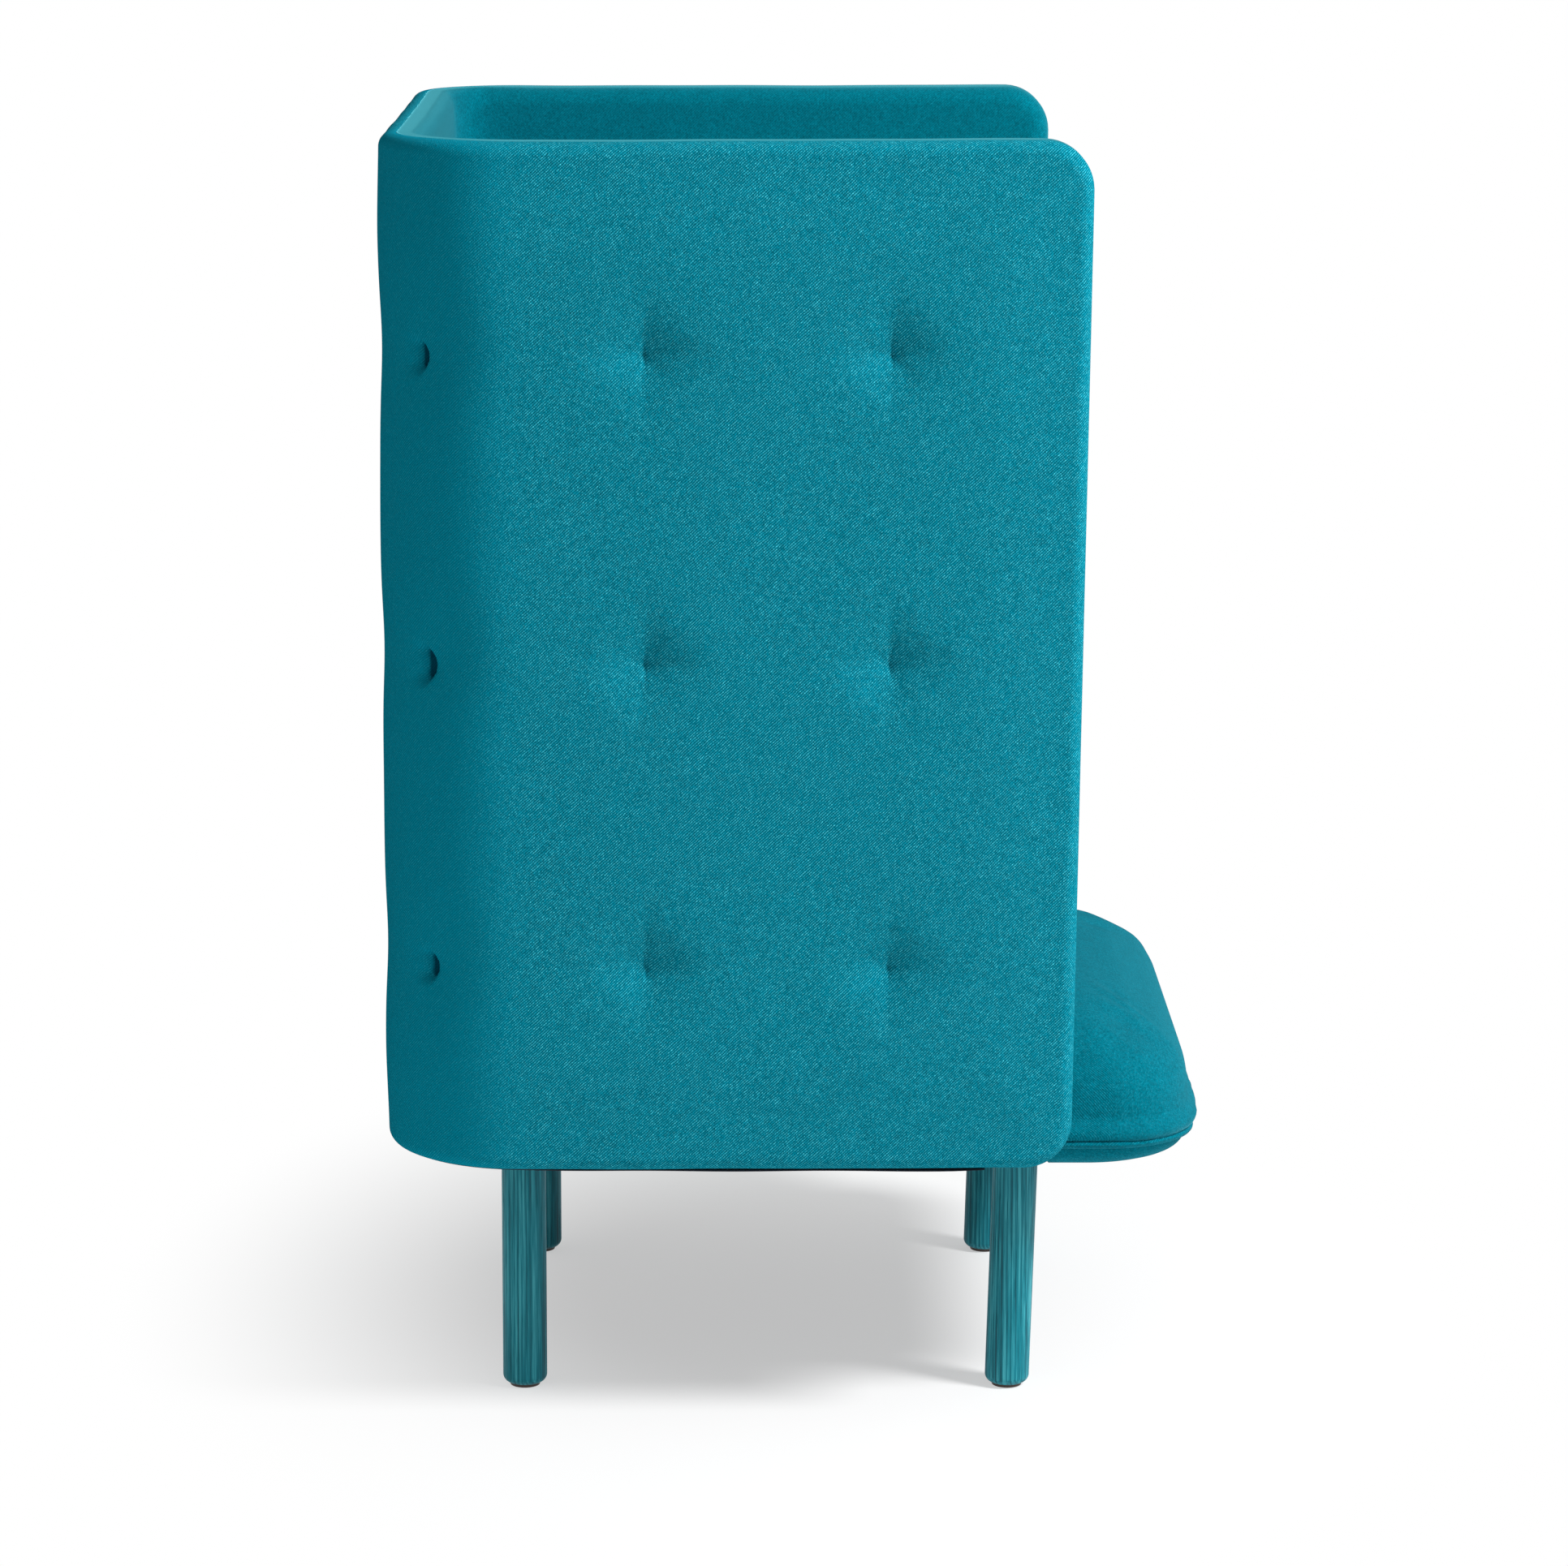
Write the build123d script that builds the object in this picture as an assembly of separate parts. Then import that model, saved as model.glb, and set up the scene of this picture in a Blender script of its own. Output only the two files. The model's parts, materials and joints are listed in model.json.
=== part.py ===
from build123d import *
import os
from math import hypot, radians, sqrt, tan

# A high-backed lounge chair: an upholstered U-shaped screen on four turned legs, round a sprung seat.
# Millimetres. +Z is up, the sitter faces -Y, and the origin is on the floor under the chair's middle.

# ---- Overall sizes ----
HEIGHT = 1308.0           # floor to the rim of the screen
WIDTH = 818.0             # across the outside of the screen
DEPTH = 832.0             # back of the screen to the front of the seat welt
SHELL_BOTTOM = 273.0      # floor to the lower rim of the screen
SIDE_DEPTH = 708.0        # back of the screen to the front edge of a side, at the top
FRONT_LEAN = 12.6         # the front edge of a side leans back by this much towards the bottom
SIDE_CORNER_R = 49.0      # rounding of a side's two front corners, seen from the side
PLAN_CORNER_R = 130.0     # rounding of the two back corners, seen from above

# ---- Layers of the screen's wall, from the outside in ----
COVER = 1.5               # upholstery fabric
SOFT_CLEAR = 0.3          # between a cover and its foam, and round the seat frame
OUTER_PAD = 18.0          # fabric and foam on the outside
LINER = 3.0               # hardboard on each side of the timber frame
FRAME = 17.0              # bent plywood hoops and studs
INNER_PAD = 21.0          # foam and fabric on the inside
RIM_PAD = 12.0            # padding over the frame's edges
OUTER_RIM_R = 14.0        # rounding of the rim towards the outside
INNER_RIM_R = 20.0        # rounding of the rim towards the inside

# ---- Tufts ----
TUFT_ROWS = 3
TUFT_EDGE = 209.0         # rim to the first row, and lower rim to the last row
TUFT_BACK_X = 130.0       # middle of the back to a tuft column
TUFT_SIDE_NEAR = 266.0    # back of the screen to the first column on a side
TUFT_SIDE_FAR = 509.0     # back of the screen to the second column on a side
CORNER_TUFT_DROP = 4.0    # the tufts on the back corners sit a little lower
TUFT_MOUTH_R = 42.0       # where the pad begins to draw in
TUFT_TIP_R = 3.0          # bottom of a tuft
OUTER_TUFT_DEPTH = 14.0
INNER_TUFT_DEPTH = 16.0
TUFT_LIP = 0.4            # the drawn-in curve starts this far above the pad
CORNER_CONE_R = 27.0      # mouth of a tuft in the hollow of an inside corner
TIE_D = 2.5               # waxed twine that holds a pair of tufts
TIE_CLEAR = 0.75

# ---- Timber frame of the screen ----
BASE_HOOP_H = 50.0
HOOP_H = 32.0
STUD_W = 50.0
SIDE_STUD = 388.0         # back of the screen to the middle of a side stud
CORNER_STUD = 165.0       # back of the screen to the middle of a corner stud
BACK_STUD_X = 235.0       # middle of the back to a back stud

# ---- Seat ----
SEAT_GAP = 2.0            # seat cover to the inside of the screen
BAND_BOTTOM = 262.0       # floor to the padded band under the front of the seat
WELT_Z = 282.0            # floor to the middle of the seat's welt
WELT_D = 8.0
WELT_CLEAR = 0.3
SEAT_CROWN = 432.0        # floor to the top of the crowned cushion
CROWN_POWER = 3.2         # how late the cushion's side turns in
CROWN_ROUND = 0.45        # how round the cushion's shoulder is
CROWN_SECTIONS = 8        # outlines that the cushion's crown passes through
SWELL_SHARE = 0.3         # share of the rise over which the cushion swells out over its welt
SEAT_FRONT_R = 90.0       # rounding of the seat's two front corners, seen from above
FRONT_ROUND = 0.8         # most that a front corner may take of the crown's half width
REAR_ROUND = 0.7          # most that a rear corner may take of it
BAND_TUCK = 37.0          # the band under the welt turns in by this much

# ---- Seat frame ----
RAIL_T = 25.0
RAIL_H = 50.0
FRAME_INSET = 45.0        # welt to the seat frame at the sides and front
REAR_INSET = 16.0         # welt to the seat frame at the rear
BOARD_W = 60.0            # boards that carry the legs
BOARD_T = 22.0
STRAP_W = 50.0
STRAP_T = 2.0
LONG_STRAPS = 5
CROSS_STRAPS = 6
STRAP_END = 3.0           # a strap ends this far from the outer face of its rail
DUST_T = 1.0
DUST_SETBACK = 100.0      # front edge of a side to the dust cover under it
DUST_INSET = 16.0         # outside of the screen to the edge of the dust cover
DUST_LEG_CLEAR = 2.0
BAND_SETBACK = 30.0       # behind a side's front edge the band is trimmed level

# ---- Legs ----
LEG_D = 46.0
LEG_INSET = 159.0         # outside of the screen to the middle of a leg
REAR_LEG = 137.0          # back of the screen to the middle of a rear leg
FRONT_LEG = 192.0         # front of the seat welt to the middle of a front leg, at the floor
FRONT_RAKE = 1.7          # degrees: a front leg's foot stands this much behind its top
LEG_END_R = 9.0
GLIDE_D = 31.0
GLIDE_T = 3.0
GLIDE_EDGE_R = 1.0
GLIDE_PIN_D = 3.0
GLIDE_PIN_L = 16.0
PIN_CLEAR = 0.1

# ---- Fasteners ----
BOLT_D = 8.0
HOLE_CLEAR = 0.5          # bolt to its hole
THREAD_CLEAR = 0.15       # bolt to its nut
BOLT_END_CLEAR = 2.0      # end of a screen bolt to the face of its nut's flange
NUT_END_CLEAR = 1.0       # barrel of a leg's nut to the bottom of its hole
BOLT_HEAD_D = 13.0
BOLT_HEAD_H = 8.0
NUT_FLANGE_D = 20.0
NUT_FLANGE_T = 1.5
NUT_BARREL_D = 11.0
NUT_BARREL_L = 11.0
LEG_BOLT_DEPTH = 40.0     # how far a leg bolt goes into its leg
SPACER_W = 45.0
SPACER_H = 26.0
SPACER_CLEAR = 0.5
BOLT_SIDE_FRONT = 536.0   # back of the screen to the front pair of screen bolts
BOLT_SIDE_REAR = 316.0    # back of the screen to the rear pair
BOLT_BACK_X = 150.0
SCREW_D = 4.5
SCREW_L = 60.0
SCREW_HEAD_D = 9.0
SCREW_CLEAR = 0.15
SCREW_PITCH = 24.0

# ---- Worked out ----
BACK_Y = DEPTH / 2
WALL = OUTER_PAD + 2 * LINER + FRAME + INNER_PAD
FRONT_Y = BACK_Y - SIDE_DEPTH
FRAME_OUT = OUTER_PAD + LINER
FRAME_IN = FRAME_OUT + FRAME
REACH = 200.0             # how far cutting blocks run past the chair
OVER = 1.0                # how far a cutting shape runs past the face that it opens
NEAR = 0.01               # places closer than this are the same
ROW_PITCH = (HEIGHT - SHELL_BOTTOM - 2 * TUFT_EDGE) / (TUFT_ROWS - 1)
SEAT_X = WIDTH / 2 - WALL - SEAT_GAP
SEAT_FRONT = -DEPTH / 2
SEAT_REAR = BACK_Y - WALL - SEAT_GAP
SEAT_REAR_R = PLAN_CORNER_R - WALL - SEAT_GAP
FRAME_X = SEAT_X - FRAME_INSET
FRAME_FRONT = SEAT_FRONT + FRAME_INSET
FRAME_REAR = SEAT_REAR - REAR_INSET
SEAT_BOTTOM = SHELL_BOTTOM
RAIL_TOP = SEAT_BOTTOM + RAIL_H
DECK = RAIL_TOP + 2 * STRAP_T
REAR_LEG_Y = BACK_Y - REAR_LEG
LEG_X = WIDTH / 2 - LEG_INSET
FRONT_LEG_Y = SEAT_FRONT + FRONT_LEG
FRONT_LEG_TOP_Y = FRONT_LEG_Y - (SEAT_BOTTOM - GLIDE_T) * tan(radians(FRONT_RAKE))
BOLT_Z = (SHELL_BOTTOM + RIM_PAD + RAIL_TOP) / 2
SEAT_JOIN = WELT_D + WELT_CLEAR    # cover and band stand this far inside the welt


def bar(x0, x1, y0, y1, z0, z1):
    """A square-edged block between two corners."""
    middle = Location(((x0 + x1) / 2, (y0 + y1) / 2, (z0 + z1) / 2))
    return middle * Box(x1 - x0, y1 - y0, z1 - z0)


def rod(radius, start, end):
    """A round bar from one point to another."""
    path = Vector(*end) - Vector(*start)
    plane = Plane(origin=start, z_dir=path)
    return extrude(plane * Circle(radius), path.length)


# ---- The screen's wall ----

def back_block(offset):
    """What the screen encloses, drawn in by an offset, with its two back corners rounded."""
    half = WIDTH / 2 - offset
    block = bar(-half, half, FRONT_Y - REACH, BACK_Y - offset, SHELL_BOTTOM - REACH, HEIGHT + REACH)
    corners = block.edges().filter_by(Axis.Z).group_by(Axis.Y)[-1]
    return fillet(corners, PLAN_CORNER_R - offset)


def side_outline(inset):
    """The screen seen from the side, drawn in by an inset, as a prism right across it."""
    top = HEIGHT - inset
    bottom = SHELL_BOTTOM + inset
    front = FRONT_Y + inset
    rear = BACK_Y + REACH
    outline = Plane.YZ * make_face(Polyline(
        (front, top), (front + FRONT_LEAN, bottom), (rear, bottom), (rear, top), close=True))
    prism = extrude(outline, WIDTH / 2 + REACH, both=True)
    corners = prism.edges().filter_by(Axis.X).group_by(Axis.Y)
    front_pair = corners[0] + corners[1]
    return fillet(front_pair, SIDE_CORNER_R - inset)


def wall(outer, inner, inset):
    """The part of the wall between two depths, measured from its outside."""
    return (back_block(outer) - back_block(inner)) & side_outline(inset)


def depth_in_wall(point):
    """How far a point lies inside the screen's outer surface, seen from above."""
    across = abs(point.X) - (WIDTH / 2 - PLAN_CORNER_R)
    along = point.Y - (BACK_Y - PLAN_CORNER_R)
    if along <= 0:
        return WIDTH / 2 - abs(point.X)
    if across <= 0:
        return BACK_Y - point.Y
    return PLAN_CORNER_R - hypot(across, along)


def rim_edges(solid, depth, inset):
    """The edges round one face of a wall: along its top, front and bottom."""
    def on_rim(edge):
        middle = edge.position_at(0.5)
        at_end = (middle.Z > HEIGHT - inset - SIDE_CORNER_R or middle.Z < SHELL_BOTTOM + inset + SIDE_CORNER_R
                  or middle.Y < FRONT_Y + FRONT_LEAN + inset + OVER)
        points = [edge.position_at(t) for t in (0.1, 0.5, 0.9)]
        return at_end and all(abs(depth_in_wall(p) - depth) < NEAR for p in points)
    return solid.edges().filter_by(on_rim)


def soft_wall(outer, inner, inset, rounded, radius):
    """A layer of the wall whose rim is rounded on the face at one depth."""
    layer = wall(outer, inner, inset)
    return fillet(rim_edges(layer, rounded, inset), radius)


# ---- Tufts ----

def tuft_places():
    """(point on the outer surface, outward direction, whether it is on a corner) of each tuft."""
    places = []
    corner = (WIDTH / 2 - PLAN_CORNER_R, BACK_Y - PLAN_CORNER_R)
    slope = sqrt(0.5)
    for row in range(TUFT_ROWS):
        z = SHELL_BOTTOM + TUFT_EDGE + row * ROW_PITCH
        for side in (-1, 1):
            out = Vector(side, 0, 0)
            for back in (TUFT_SIDE_NEAR, TUFT_SIDE_FAR):
                places.append((Vector(side * WIDTH / 2, BACK_Y - back, z), out, False))
            places.append((Vector(side * TUFT_BACK_X, BACK_Y, z), Vector(0, 1, 0), False))
            turn = Vector(side * slope, slope, 0)
            centre = Vector(side * corner[0], corner[1], z - CORNER_TUFT_DROP)
            places.append((centre + turn * PLAN_CORNER_R, turn, True))
    return places


def dimple(depth, skin):
    """The air in a tuft on a flat pad: a trumpet whose walls curve out onto the pad's face."""
    roll = ((TUFT_MOUTH_R - TUFT_TIP_R) ** 2 + depth ** 2) / (2 * depth)
    inner_roll = roll - skin
    low = -depth
    tip = TUFT_MOUTH_R - sqrt(inner_roll ** 2 - (roll - depth) ** 2)
    mouth_z = TUFT_LIP - skin
    middle_r = (tip + TUFT_MOUTH_R) / 2
    middle_z = TUFT_LIP - roll + sqrt(inner_roll ** 2 - (TUFT_MOUTH_R - middle_r) ** 2)
    low_z = TUFT_LIP + low
    sides = Polyline((TUFT_MOUTH_R, 0, mouth_z), (TUFT_MOUTH_R, 0, TUFT_LIP + skin + OVER),
                     (0, 0, TUFT_LIP + skin + OVER), (0, 0, low_z), (tip, 0, low_z))
    curve = ThreePointArc((tip, 0, low_z), (middle_r, 0, middle_z), (TUFT_MOUTH_R, 0, mouth_z))
    return revolve(make_face(sides.edges() + [curve]), Axis.Z)


def cone_dimple(depth, skin, hollow_r):
    """The air in a tuft in the hollow of a corner: a plain cone up to the curving face."""
    top = CORNER_CONE_R ** 2 / (2 * hollow_r) + skin
    profile = Polyline((0, 0, -depth), (TUFT_TIP_R + skin, 0, -depth),
                       (CORNER_CONE_R + skin, 0, top), (0, 0, top), close=True)
    return revolve(make_face(profile), Axis.Z)


def outer_dimples(skin):
    shapes = []
    shape = dimple(OUTER_TUFT_DEPTH, skin)
    for point, out, _ in tuft_places():
        shapes.append(Plane(origin=point, z_dir=out) * shape)
    return shapes


def inner_dimples(skin):
    shapes = []
    flat = dimple(INNER_TUFT_DEPTH, skin)
    hollow = cone_dimple(INNER_TUFT_DEPTH, skin, PLAN_CORNER_R - WALL)
    for point, out, on_corner in tuft_places():
        face = Plane(origin=point - out * WALL, z_dir=-out)
        shapes.append(face * (hollow if on_corner else flat))
    return shapes


def tie_rods(radius, start, end):
    """Round bars through the wall at every tuft, between two depths."""
    return [rod(radius, point - out * start, point - out * end) for point, out, _ in tuft_places()]


def tie_holes():
    return tie_rods(TIE_D / 2 + TIE_CLEAR, -OVER, WALL + OVER)


# ---- Screen bolts ----

def bolt_places():
    """(point on the screen's outer surface, outward direction, seat frame's face) of each bolt."""
    places = []
    for side in (-1, 1):
        for back in (BOLT_SIDE_FRONT, BOLT_SIDE_REAR):
            point = Vector(side * WIDTH / 2, BACK_Y - back, BOLT_Z)
            places.append((point, Vector(side, 0, 0), WIDTH / 2 - FRAME_X))
        places.append((Vector(side * BOLT_BACK_X, BACK_Y, BOLT_Z), Vector(0, 1, 0), BACK_Y - FRAME_REAR))
    return places


def bolt_rods(radius, start, end=None):
    """Round bars on the bolts' axes; a start or end of None is the inner face of the seat rail."""
    rods = []
    for point, out, rail in bolt_places():
        last = rail + RAIL_T if end is None else end
        rods.append(rod(radius, point - out * start, point - out * last))
    return rods


def spacer_blocks(start, extra):
    """Blocks from a depth in the wall to the seat frame, larger all round by an extra."""
    blocks = []
    for point, out, rail in bolt_places():
        plane = Plane(origin=point - out * start, x_dir=(0, 0, 1), z_dir=-out)
        face = plane * Rectangle(SPACER_H + 2 * extra, SPACER_W + 2 * extra)
        blocks.append(extrude(face, rail - start))
    return blocks


# ---- Upholstery of the screen ----

def outer_pad_body(skin):
    body = soft_wall(skin, OUTER_PAD, skin, skin, OUTER_RIM_R - skin)
    return body - outer_dimples(skin)


def inner_pad_body(skin):
    body = soft_wall(OUTER_PAD, WALL - skin, skin, WALL - skin, INNER_RIM_R - skin)
    return body - inner_dimples(skin)


def outer_upholstery():
    cover = outer_pad_body(0) - outer_pad_body(COVER)
    foam = outer_pad_body(COVER + SOFT_CLEAR)
    foam -= tie_rods(TIE_D / 2 + TIE_CLEAR, OUTER_TUFT_DEPTH, OUTER_PAD + OVER)
    return {"outer_cover": cover, "outer_foam": foam}


def inner_upholstery():
    cover = inner_pad_body(0) - inner_pad_body(COVER)
    foam = inner_pad_body(COVER + SOFT_CLEAR)
    pockets = spacer_blocks(WALL - INNER_PAD, SPACER_CLEAR)
    foam -= wall(OUTER_PAD, WALL - INNER_PAD, RIM_PAD)
    foam -= tie_rods(TIE_D / 2 + TIE_CLEAR, WALL - INNER_PAD - OVER, WALL - INNER_TUFT_DEPTH)
    return {"inner_cover": cover - pockets, "inner_foam": foam - pockets}


def tuft_ties():
    start = OUTER_TUFT_DEPTH
    return Compound(children=tie_rods(TIE_D / 2, start, WALL - INNER_TUFT_DEPTH))


# ---- Timber frame of the screen ----

def liners():
    holes = tie_holes()
    bolts = bolt_rods(BOLT_D / 2 + HOLE_CLEAR, FRAME_IN - OVER)
    outer = wall(OUTER_PAD, FRAME_OUT, RIM_PAD) - holes
    inner = wall(FRAME_IN, FRAME_IN + LINER, RIM_PAD) - holes - bolts
    return {"outer_liner": outer, "inner_liner": inner}


def hoop_levels():
    """Lowest and highest level of each hoop: at the rims, and half-way between the tuft rows."""
    low = SHELL_BOTTOM + RIM_PAD
    high = HEIGHT - RIM_PAD
    levels = [(low, low + BASE_HOOP_H)]
    for row in range(TUFT_ROWS - 1):
        z = SHELL_BOTTOM + TUFT_EDGE + (row + 0.5) * ROW_PITCH
        levels.append((z - HOOP_H / 2, z + HOOP_H / 2))
    levels.append((high - HOOP_H, high))
    return levels


def level_slab(z0, z1):
    return bar(-WIDTH, WIDTH, -DEPTH, DEPTH, z0, z1)


def stud_columns():
    """The upright space of each stud, by name."""
    low = SHELL_BOTTOM
    high = HEIGHT
    columns = {}
    half = STUD_W / 2
    front = FRONT_Y + RIM_PAD
    for name, side in (("left", -1), ("right", 1)):
        x0, x1 = sorted((side * (WIDTH / 2 - WALL), side * WIDTH / 2))
        columns[name + "_front_post"] = bar(x0, x1, front - OVER, front + FRONT_LEAN + STUD_W, low, high)
        for place, back in (("side", SIDE_STUD), ("corner", CORNER_STUD)):
            y = BACK_Y - back
            columns[f"{name}_{place}_stud"] = bar(x0, x1, y - half, y + half, low, high)
        x = side * BACK_STUD_X
        columns[name + "_back_stud"] = bar(x - half, x + half, BACK_Y - WALL, BACK_Y, low, high)
    return columns


def timber_frame():
    """Hoops, studs and sound-absorbing cores; each hoop and stud are halved where they cross."""
    space = wall(FRAME_OUT, FRAME_IN, RIM_PAD)
    outer_half = wall(FRAME_OUT, FRAME_OUT + FRAME / 2, RIM_PAD)
    inner_half = wall(FRAME_OUT + FRAME / 2, FRAME_IN, RIM_PAD)
    columns = stud_columns()
    levels = hoop_levels()
    slabs = [level_slab(z0, z1) for z0, z1 in levels]
    uprights = list(columns.values())
    holes = tie_holes()
    nodes = {}
    names = ["base_hoop"] + [f"middle_hoop_{n + 1}" for n in range(TUFT_ROWS - 1)] + ["top_hoop"]
    studs_inside = [column & inner_half for column in uprights]
    hoops_outside = [slab & outer_half for slab in slabs]
    for name, slab in zip(names, slabs):
        nodes[name] = (space & slab) - studs_inside
    for name, column in columns.items():
        nodes[name] = (space & column) - hoops_outside
    for n in range(TUFT_ROWS):
        bay = level_slab(levels[n][1], levels[n + 1][0])
        nodes[f"acoustic_core_{n + 1}"] = (space & bay) - uprights - holes
    face = FRAME_OUT - OVER
    flange_end = FRAME_OUT + NUT_FLANGE_T
    bores = bolt_rods(BOLT_D / 2 + HOLE_CLEAR, face, FRAME_IN + OVER)
    barrels = bolt_rods(NUT_BARREL_D / 2 + HOLE_CLEAR, face, flange_end + NUT_BARREL_L)
    seats = bolt_rods(NUT_FLANGE_D / 2 + HOLE_CLEAR, face, flange_end)
    nodes["base_hoop"] = nodes["base_hoop"] - bores - barrels - seats
    return nodes


# ---- Screen fasteners ----

def screen_fasteners():
    shanks = bolt_rods(BOLT_D / 2, FRAME_OUT + BOLT_END_CLEAR)
    bolts = []
    for (point, out, rail), shank in zip(bolt_places(), shanks):
        face = rail + RAIL_T
        head = rod(BOLT_HEAD_D / 2, point - out * face, point - out * (face + BOLT_HEAD_H))
        bolts.append(shank + head)
    flanges = bolt_rods(NUT_FLANGE_D / 2, FRAME_OUT, FRAME_OUT + NUT_FLANGE_T)
    barrels = bolt_rods(NUT_BARREL_D / 2, FRAME_OUT, FRAME_OUT + NUT_FLANGE_T + NUT_BARREL_L)
    bores = bolt_rods(BOLT_D / 2 + THREAD_CLEAR, FRAME_OUT - OVER, FRAME_IN)
    nuts = [flange + barrel - bore for flange, barrel, bore in zip(flanges, barrels, bores)]
    holes = bolt_rods(BOLT_D / 2 + HOLE_CLEAR, FRAME_IN, WIDTH)
    spacers = [block - hole for block, hole in zip(spacer_blocks(WALL - INNER_PAD, 0), holes)]
    return {"screen_bolts": Compound(children=bolts),
            "screen_tee_nuts": Compound(children=nuts),
            "seat_spacers": Compound(children=spacers)}


# ---- Seat upholstery ----

def seat_outline(inset, z):
    """The seat seen from above, drawn in by an inset, with larger corners at the front."""
    half = SEAT_X - inset
    front = SEAT_FRONT + inset
    rear = SEAT_REAR - inset
    front_r = min(SEAT_FRONT_R, FRONT_ROUND * half)
    rear_r = min(SEAT_REAR_R, REAR_ROUND * half)
    bow = sqrt(0.5)
    f = front_r * (1 - bow)
    r = rear_r * (1 - bow)
    edges = [
        Line((-half + front_r, front, z), (half - front_r, front, z)),
        ThreePointArc((half - front_r, front, z), (half - f, front + f, z), (half, front + front_r, z)),
        Line((half, front + front_r, z), (half, rear - rear_r, z)),
        ThreePointArc((half, rear - rear_r, z), (half - r, rear - r, z), (half - rear_r, rear, z)),
        Line((half - rear_r, rear, z), (-half + rear_r, rear, z)),
        ThreePointArc((-half + rear_r, rear, z), (-half + r, rear - r, z), (-half, rear - rear_r, z)),
        Line((-half, rear - rear_r, z), (-half, front + front_r, z)),
        ThreePointArc((-half, front + front_r, z), (-half + f, front + f, z), (-half + front_r, front, z)),
    ]
    return Wire(edges)


def crown_steps():
    """(share of the rise, share of the run) of outlines spread evenly along the crown's profile."""
    fine = 400
    points = []
    for n in range(fine):
        share = n / fine
        points.append((share, 1 - (1 - share ** CROWN_POWER) ** CROWN_ROUND))
    rise = SEAT_CROWN - WELT_Z
    lengths = [0.0]
    for (z0, x0), (z1, x1) in zip(points, points[1:]):
        lengths.append(lengths[-1] + hypot((z1 - z0) * rise, (x1 - x0) * SEAT_X))
    steps = []
    for n in range(CROWN_SECTIONS + 1):
        goal = lengths[-1] * n / CROWN_SECTIONS
        steps.append(next(point for point, length in zip(points, lengths) if length >= goal - 1e-6))
    return steps


def cushion_body(skin):
    """The crowned cushion above the welt: upright sides, a round shoulder and a domed top."""
    start = WELT_Z + WELT_D / 2 + WELT_CLEAR
    rise = SEAT_CROWN - skin - start
    run = SEAT_X - skin
    sections = []
    for share, inwards in crown_steps():
        neck = SEAT_JOIN * max(0.0, 1 - share / SWELL_SHARE) ** 2
        inset = inwards * run + neck + skin
        sections.append(make_face(seat_outline(inset, start + share * rise)))
    neck_ring = extrude(make_face(seat_outline(SEAT_JOIN + skin, WELT_Z)), start - WELT_Z)
    return loft(sections) + neck_ring


def seat_frame_space(clear):
    """The room that the seat frame and its webbing take, from below the seat to the deck."""
    return bar(-FRAME_X - clear, FRAME_X + clear, FRAME_FRONT - clear, FRAME_REAR + clear,
               SEAT_BOTTOM - REACH, DECK + clear)


def seat_upholstery():
    pockets = spacer_blocks(WALL - INNER_PAD, SPACER_CLEAR)
    cover = cushion_body(0) - cushion_body(COVER) - pockets
    foam = cushion_body(COVER + SOFT_CLEAR) - seat_frame_space(SOFT_CLEAR) - pockets
    return {"seat_cover": cover, "seat_foam": foam, "seat_welt": seat_welt(), "seat_band": seat_band()}


def seat_welt():
    path = seat_outline(WELT_D / 2, WELT_Z)
    start = path.position_at(0)
    section = Plane(origin=start, z_dir=path.tangent_at(0)) * Circle(WELT_D / 2)
    return sweep(section, path)


def seat_band():
    """The padded band that turns in under the welt, trimmed level inside the screen."""
    drop = WELT_Z - BAND_BOTTOM
    sections = []
    for share in (0, 0.4, 0.75, 1):
        inset = SEAT_JOIN + BAND_TUCK * (1 - sqrt(1 - share ** 2))
        sections.append(make_face(seat_outline(inset, WELT_Z - share * drop)))
    trim = bar(-WIDTH, WIDTH, FRONT_Y + BAND_SETBACK, DEPTH, 0, SEAT_BOTTOM + SOFT_CLEAR)
    return loft(sections) - seat_frame_space(SOFT_CLEAR) - trim


# ---- Seat frame ----

def strap_middles(count, start, end):
    """Evenly spread middles of straps between two limits."""
    pitch = (end - start) / count
    return [start + (n + 0.5) * pitch for n in range(count)]


def screw_places():
    """(point on a side rail's outer face, direction inwards, level) of each rail screw."""
    places = []
    for side in (-1, 1):
        for y in (FRAME_FRONT + RAIL_T / 2, FRAME_REAR - RAIL_T / 2):
            for step in (-0.5, 0.5):
                z = SEAT_BOTTOM + RAIL_H / 2 + step * SCREW_PITCH
                places.append((Vector(side * FRAME_X, y, z), Vector(-side, 0, 0)))
    return places


def board_screw_places():
    places = []
    for side in (-1, 1):
        for y in (FRONT_LEG_TOP_Y, REAR_LEG_Y):
            for step in (-0.5, 0.5):
                point = Vector(side * FRAME_X, y + step * SCREW_PITCH, SEAT_BOTTOM + BOARD_T / 2)
                places.append((point, Vector(-side, 0, 0)))
    return places


def screw(point, inwards, clear):
    """A countersunk screw, larger all round by a clearance."""
    head_h = (SCREW_HEAD_D - SCREW_D) / 2
    shank = rod(SCREW_D / 2 + clear, point, point + inwards * (SCREW_L + clear))
    plane = Plane(origin=point, z_dir=inwards)
    mouth = plane * Circle(SCREW_HEAD_D / 2 + clear)
    neck = plane.offset(head_h) * Circle(SCREW_D / 2 + clear)
    head = loft([mouth, neck])
    return shank + head


def screws(places, clear):
    return [screw(point, inwards, clear) for point, inwards in places]


def leg_places():
    """(name, x, y at the floor, y at the seat frame) of each leg."""
    places = []
    for name, side in (("left", -1), ("right", 1)):
        places.append(("front_" + name, side * LEG_X, FRONT_LEG_Y, FRONT_LEG_TOP_Y))
        places.append(("rear_" + name, side * LEG_X, REAR_LEG_Y, REAR_LEG_Y))
    return places


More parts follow.
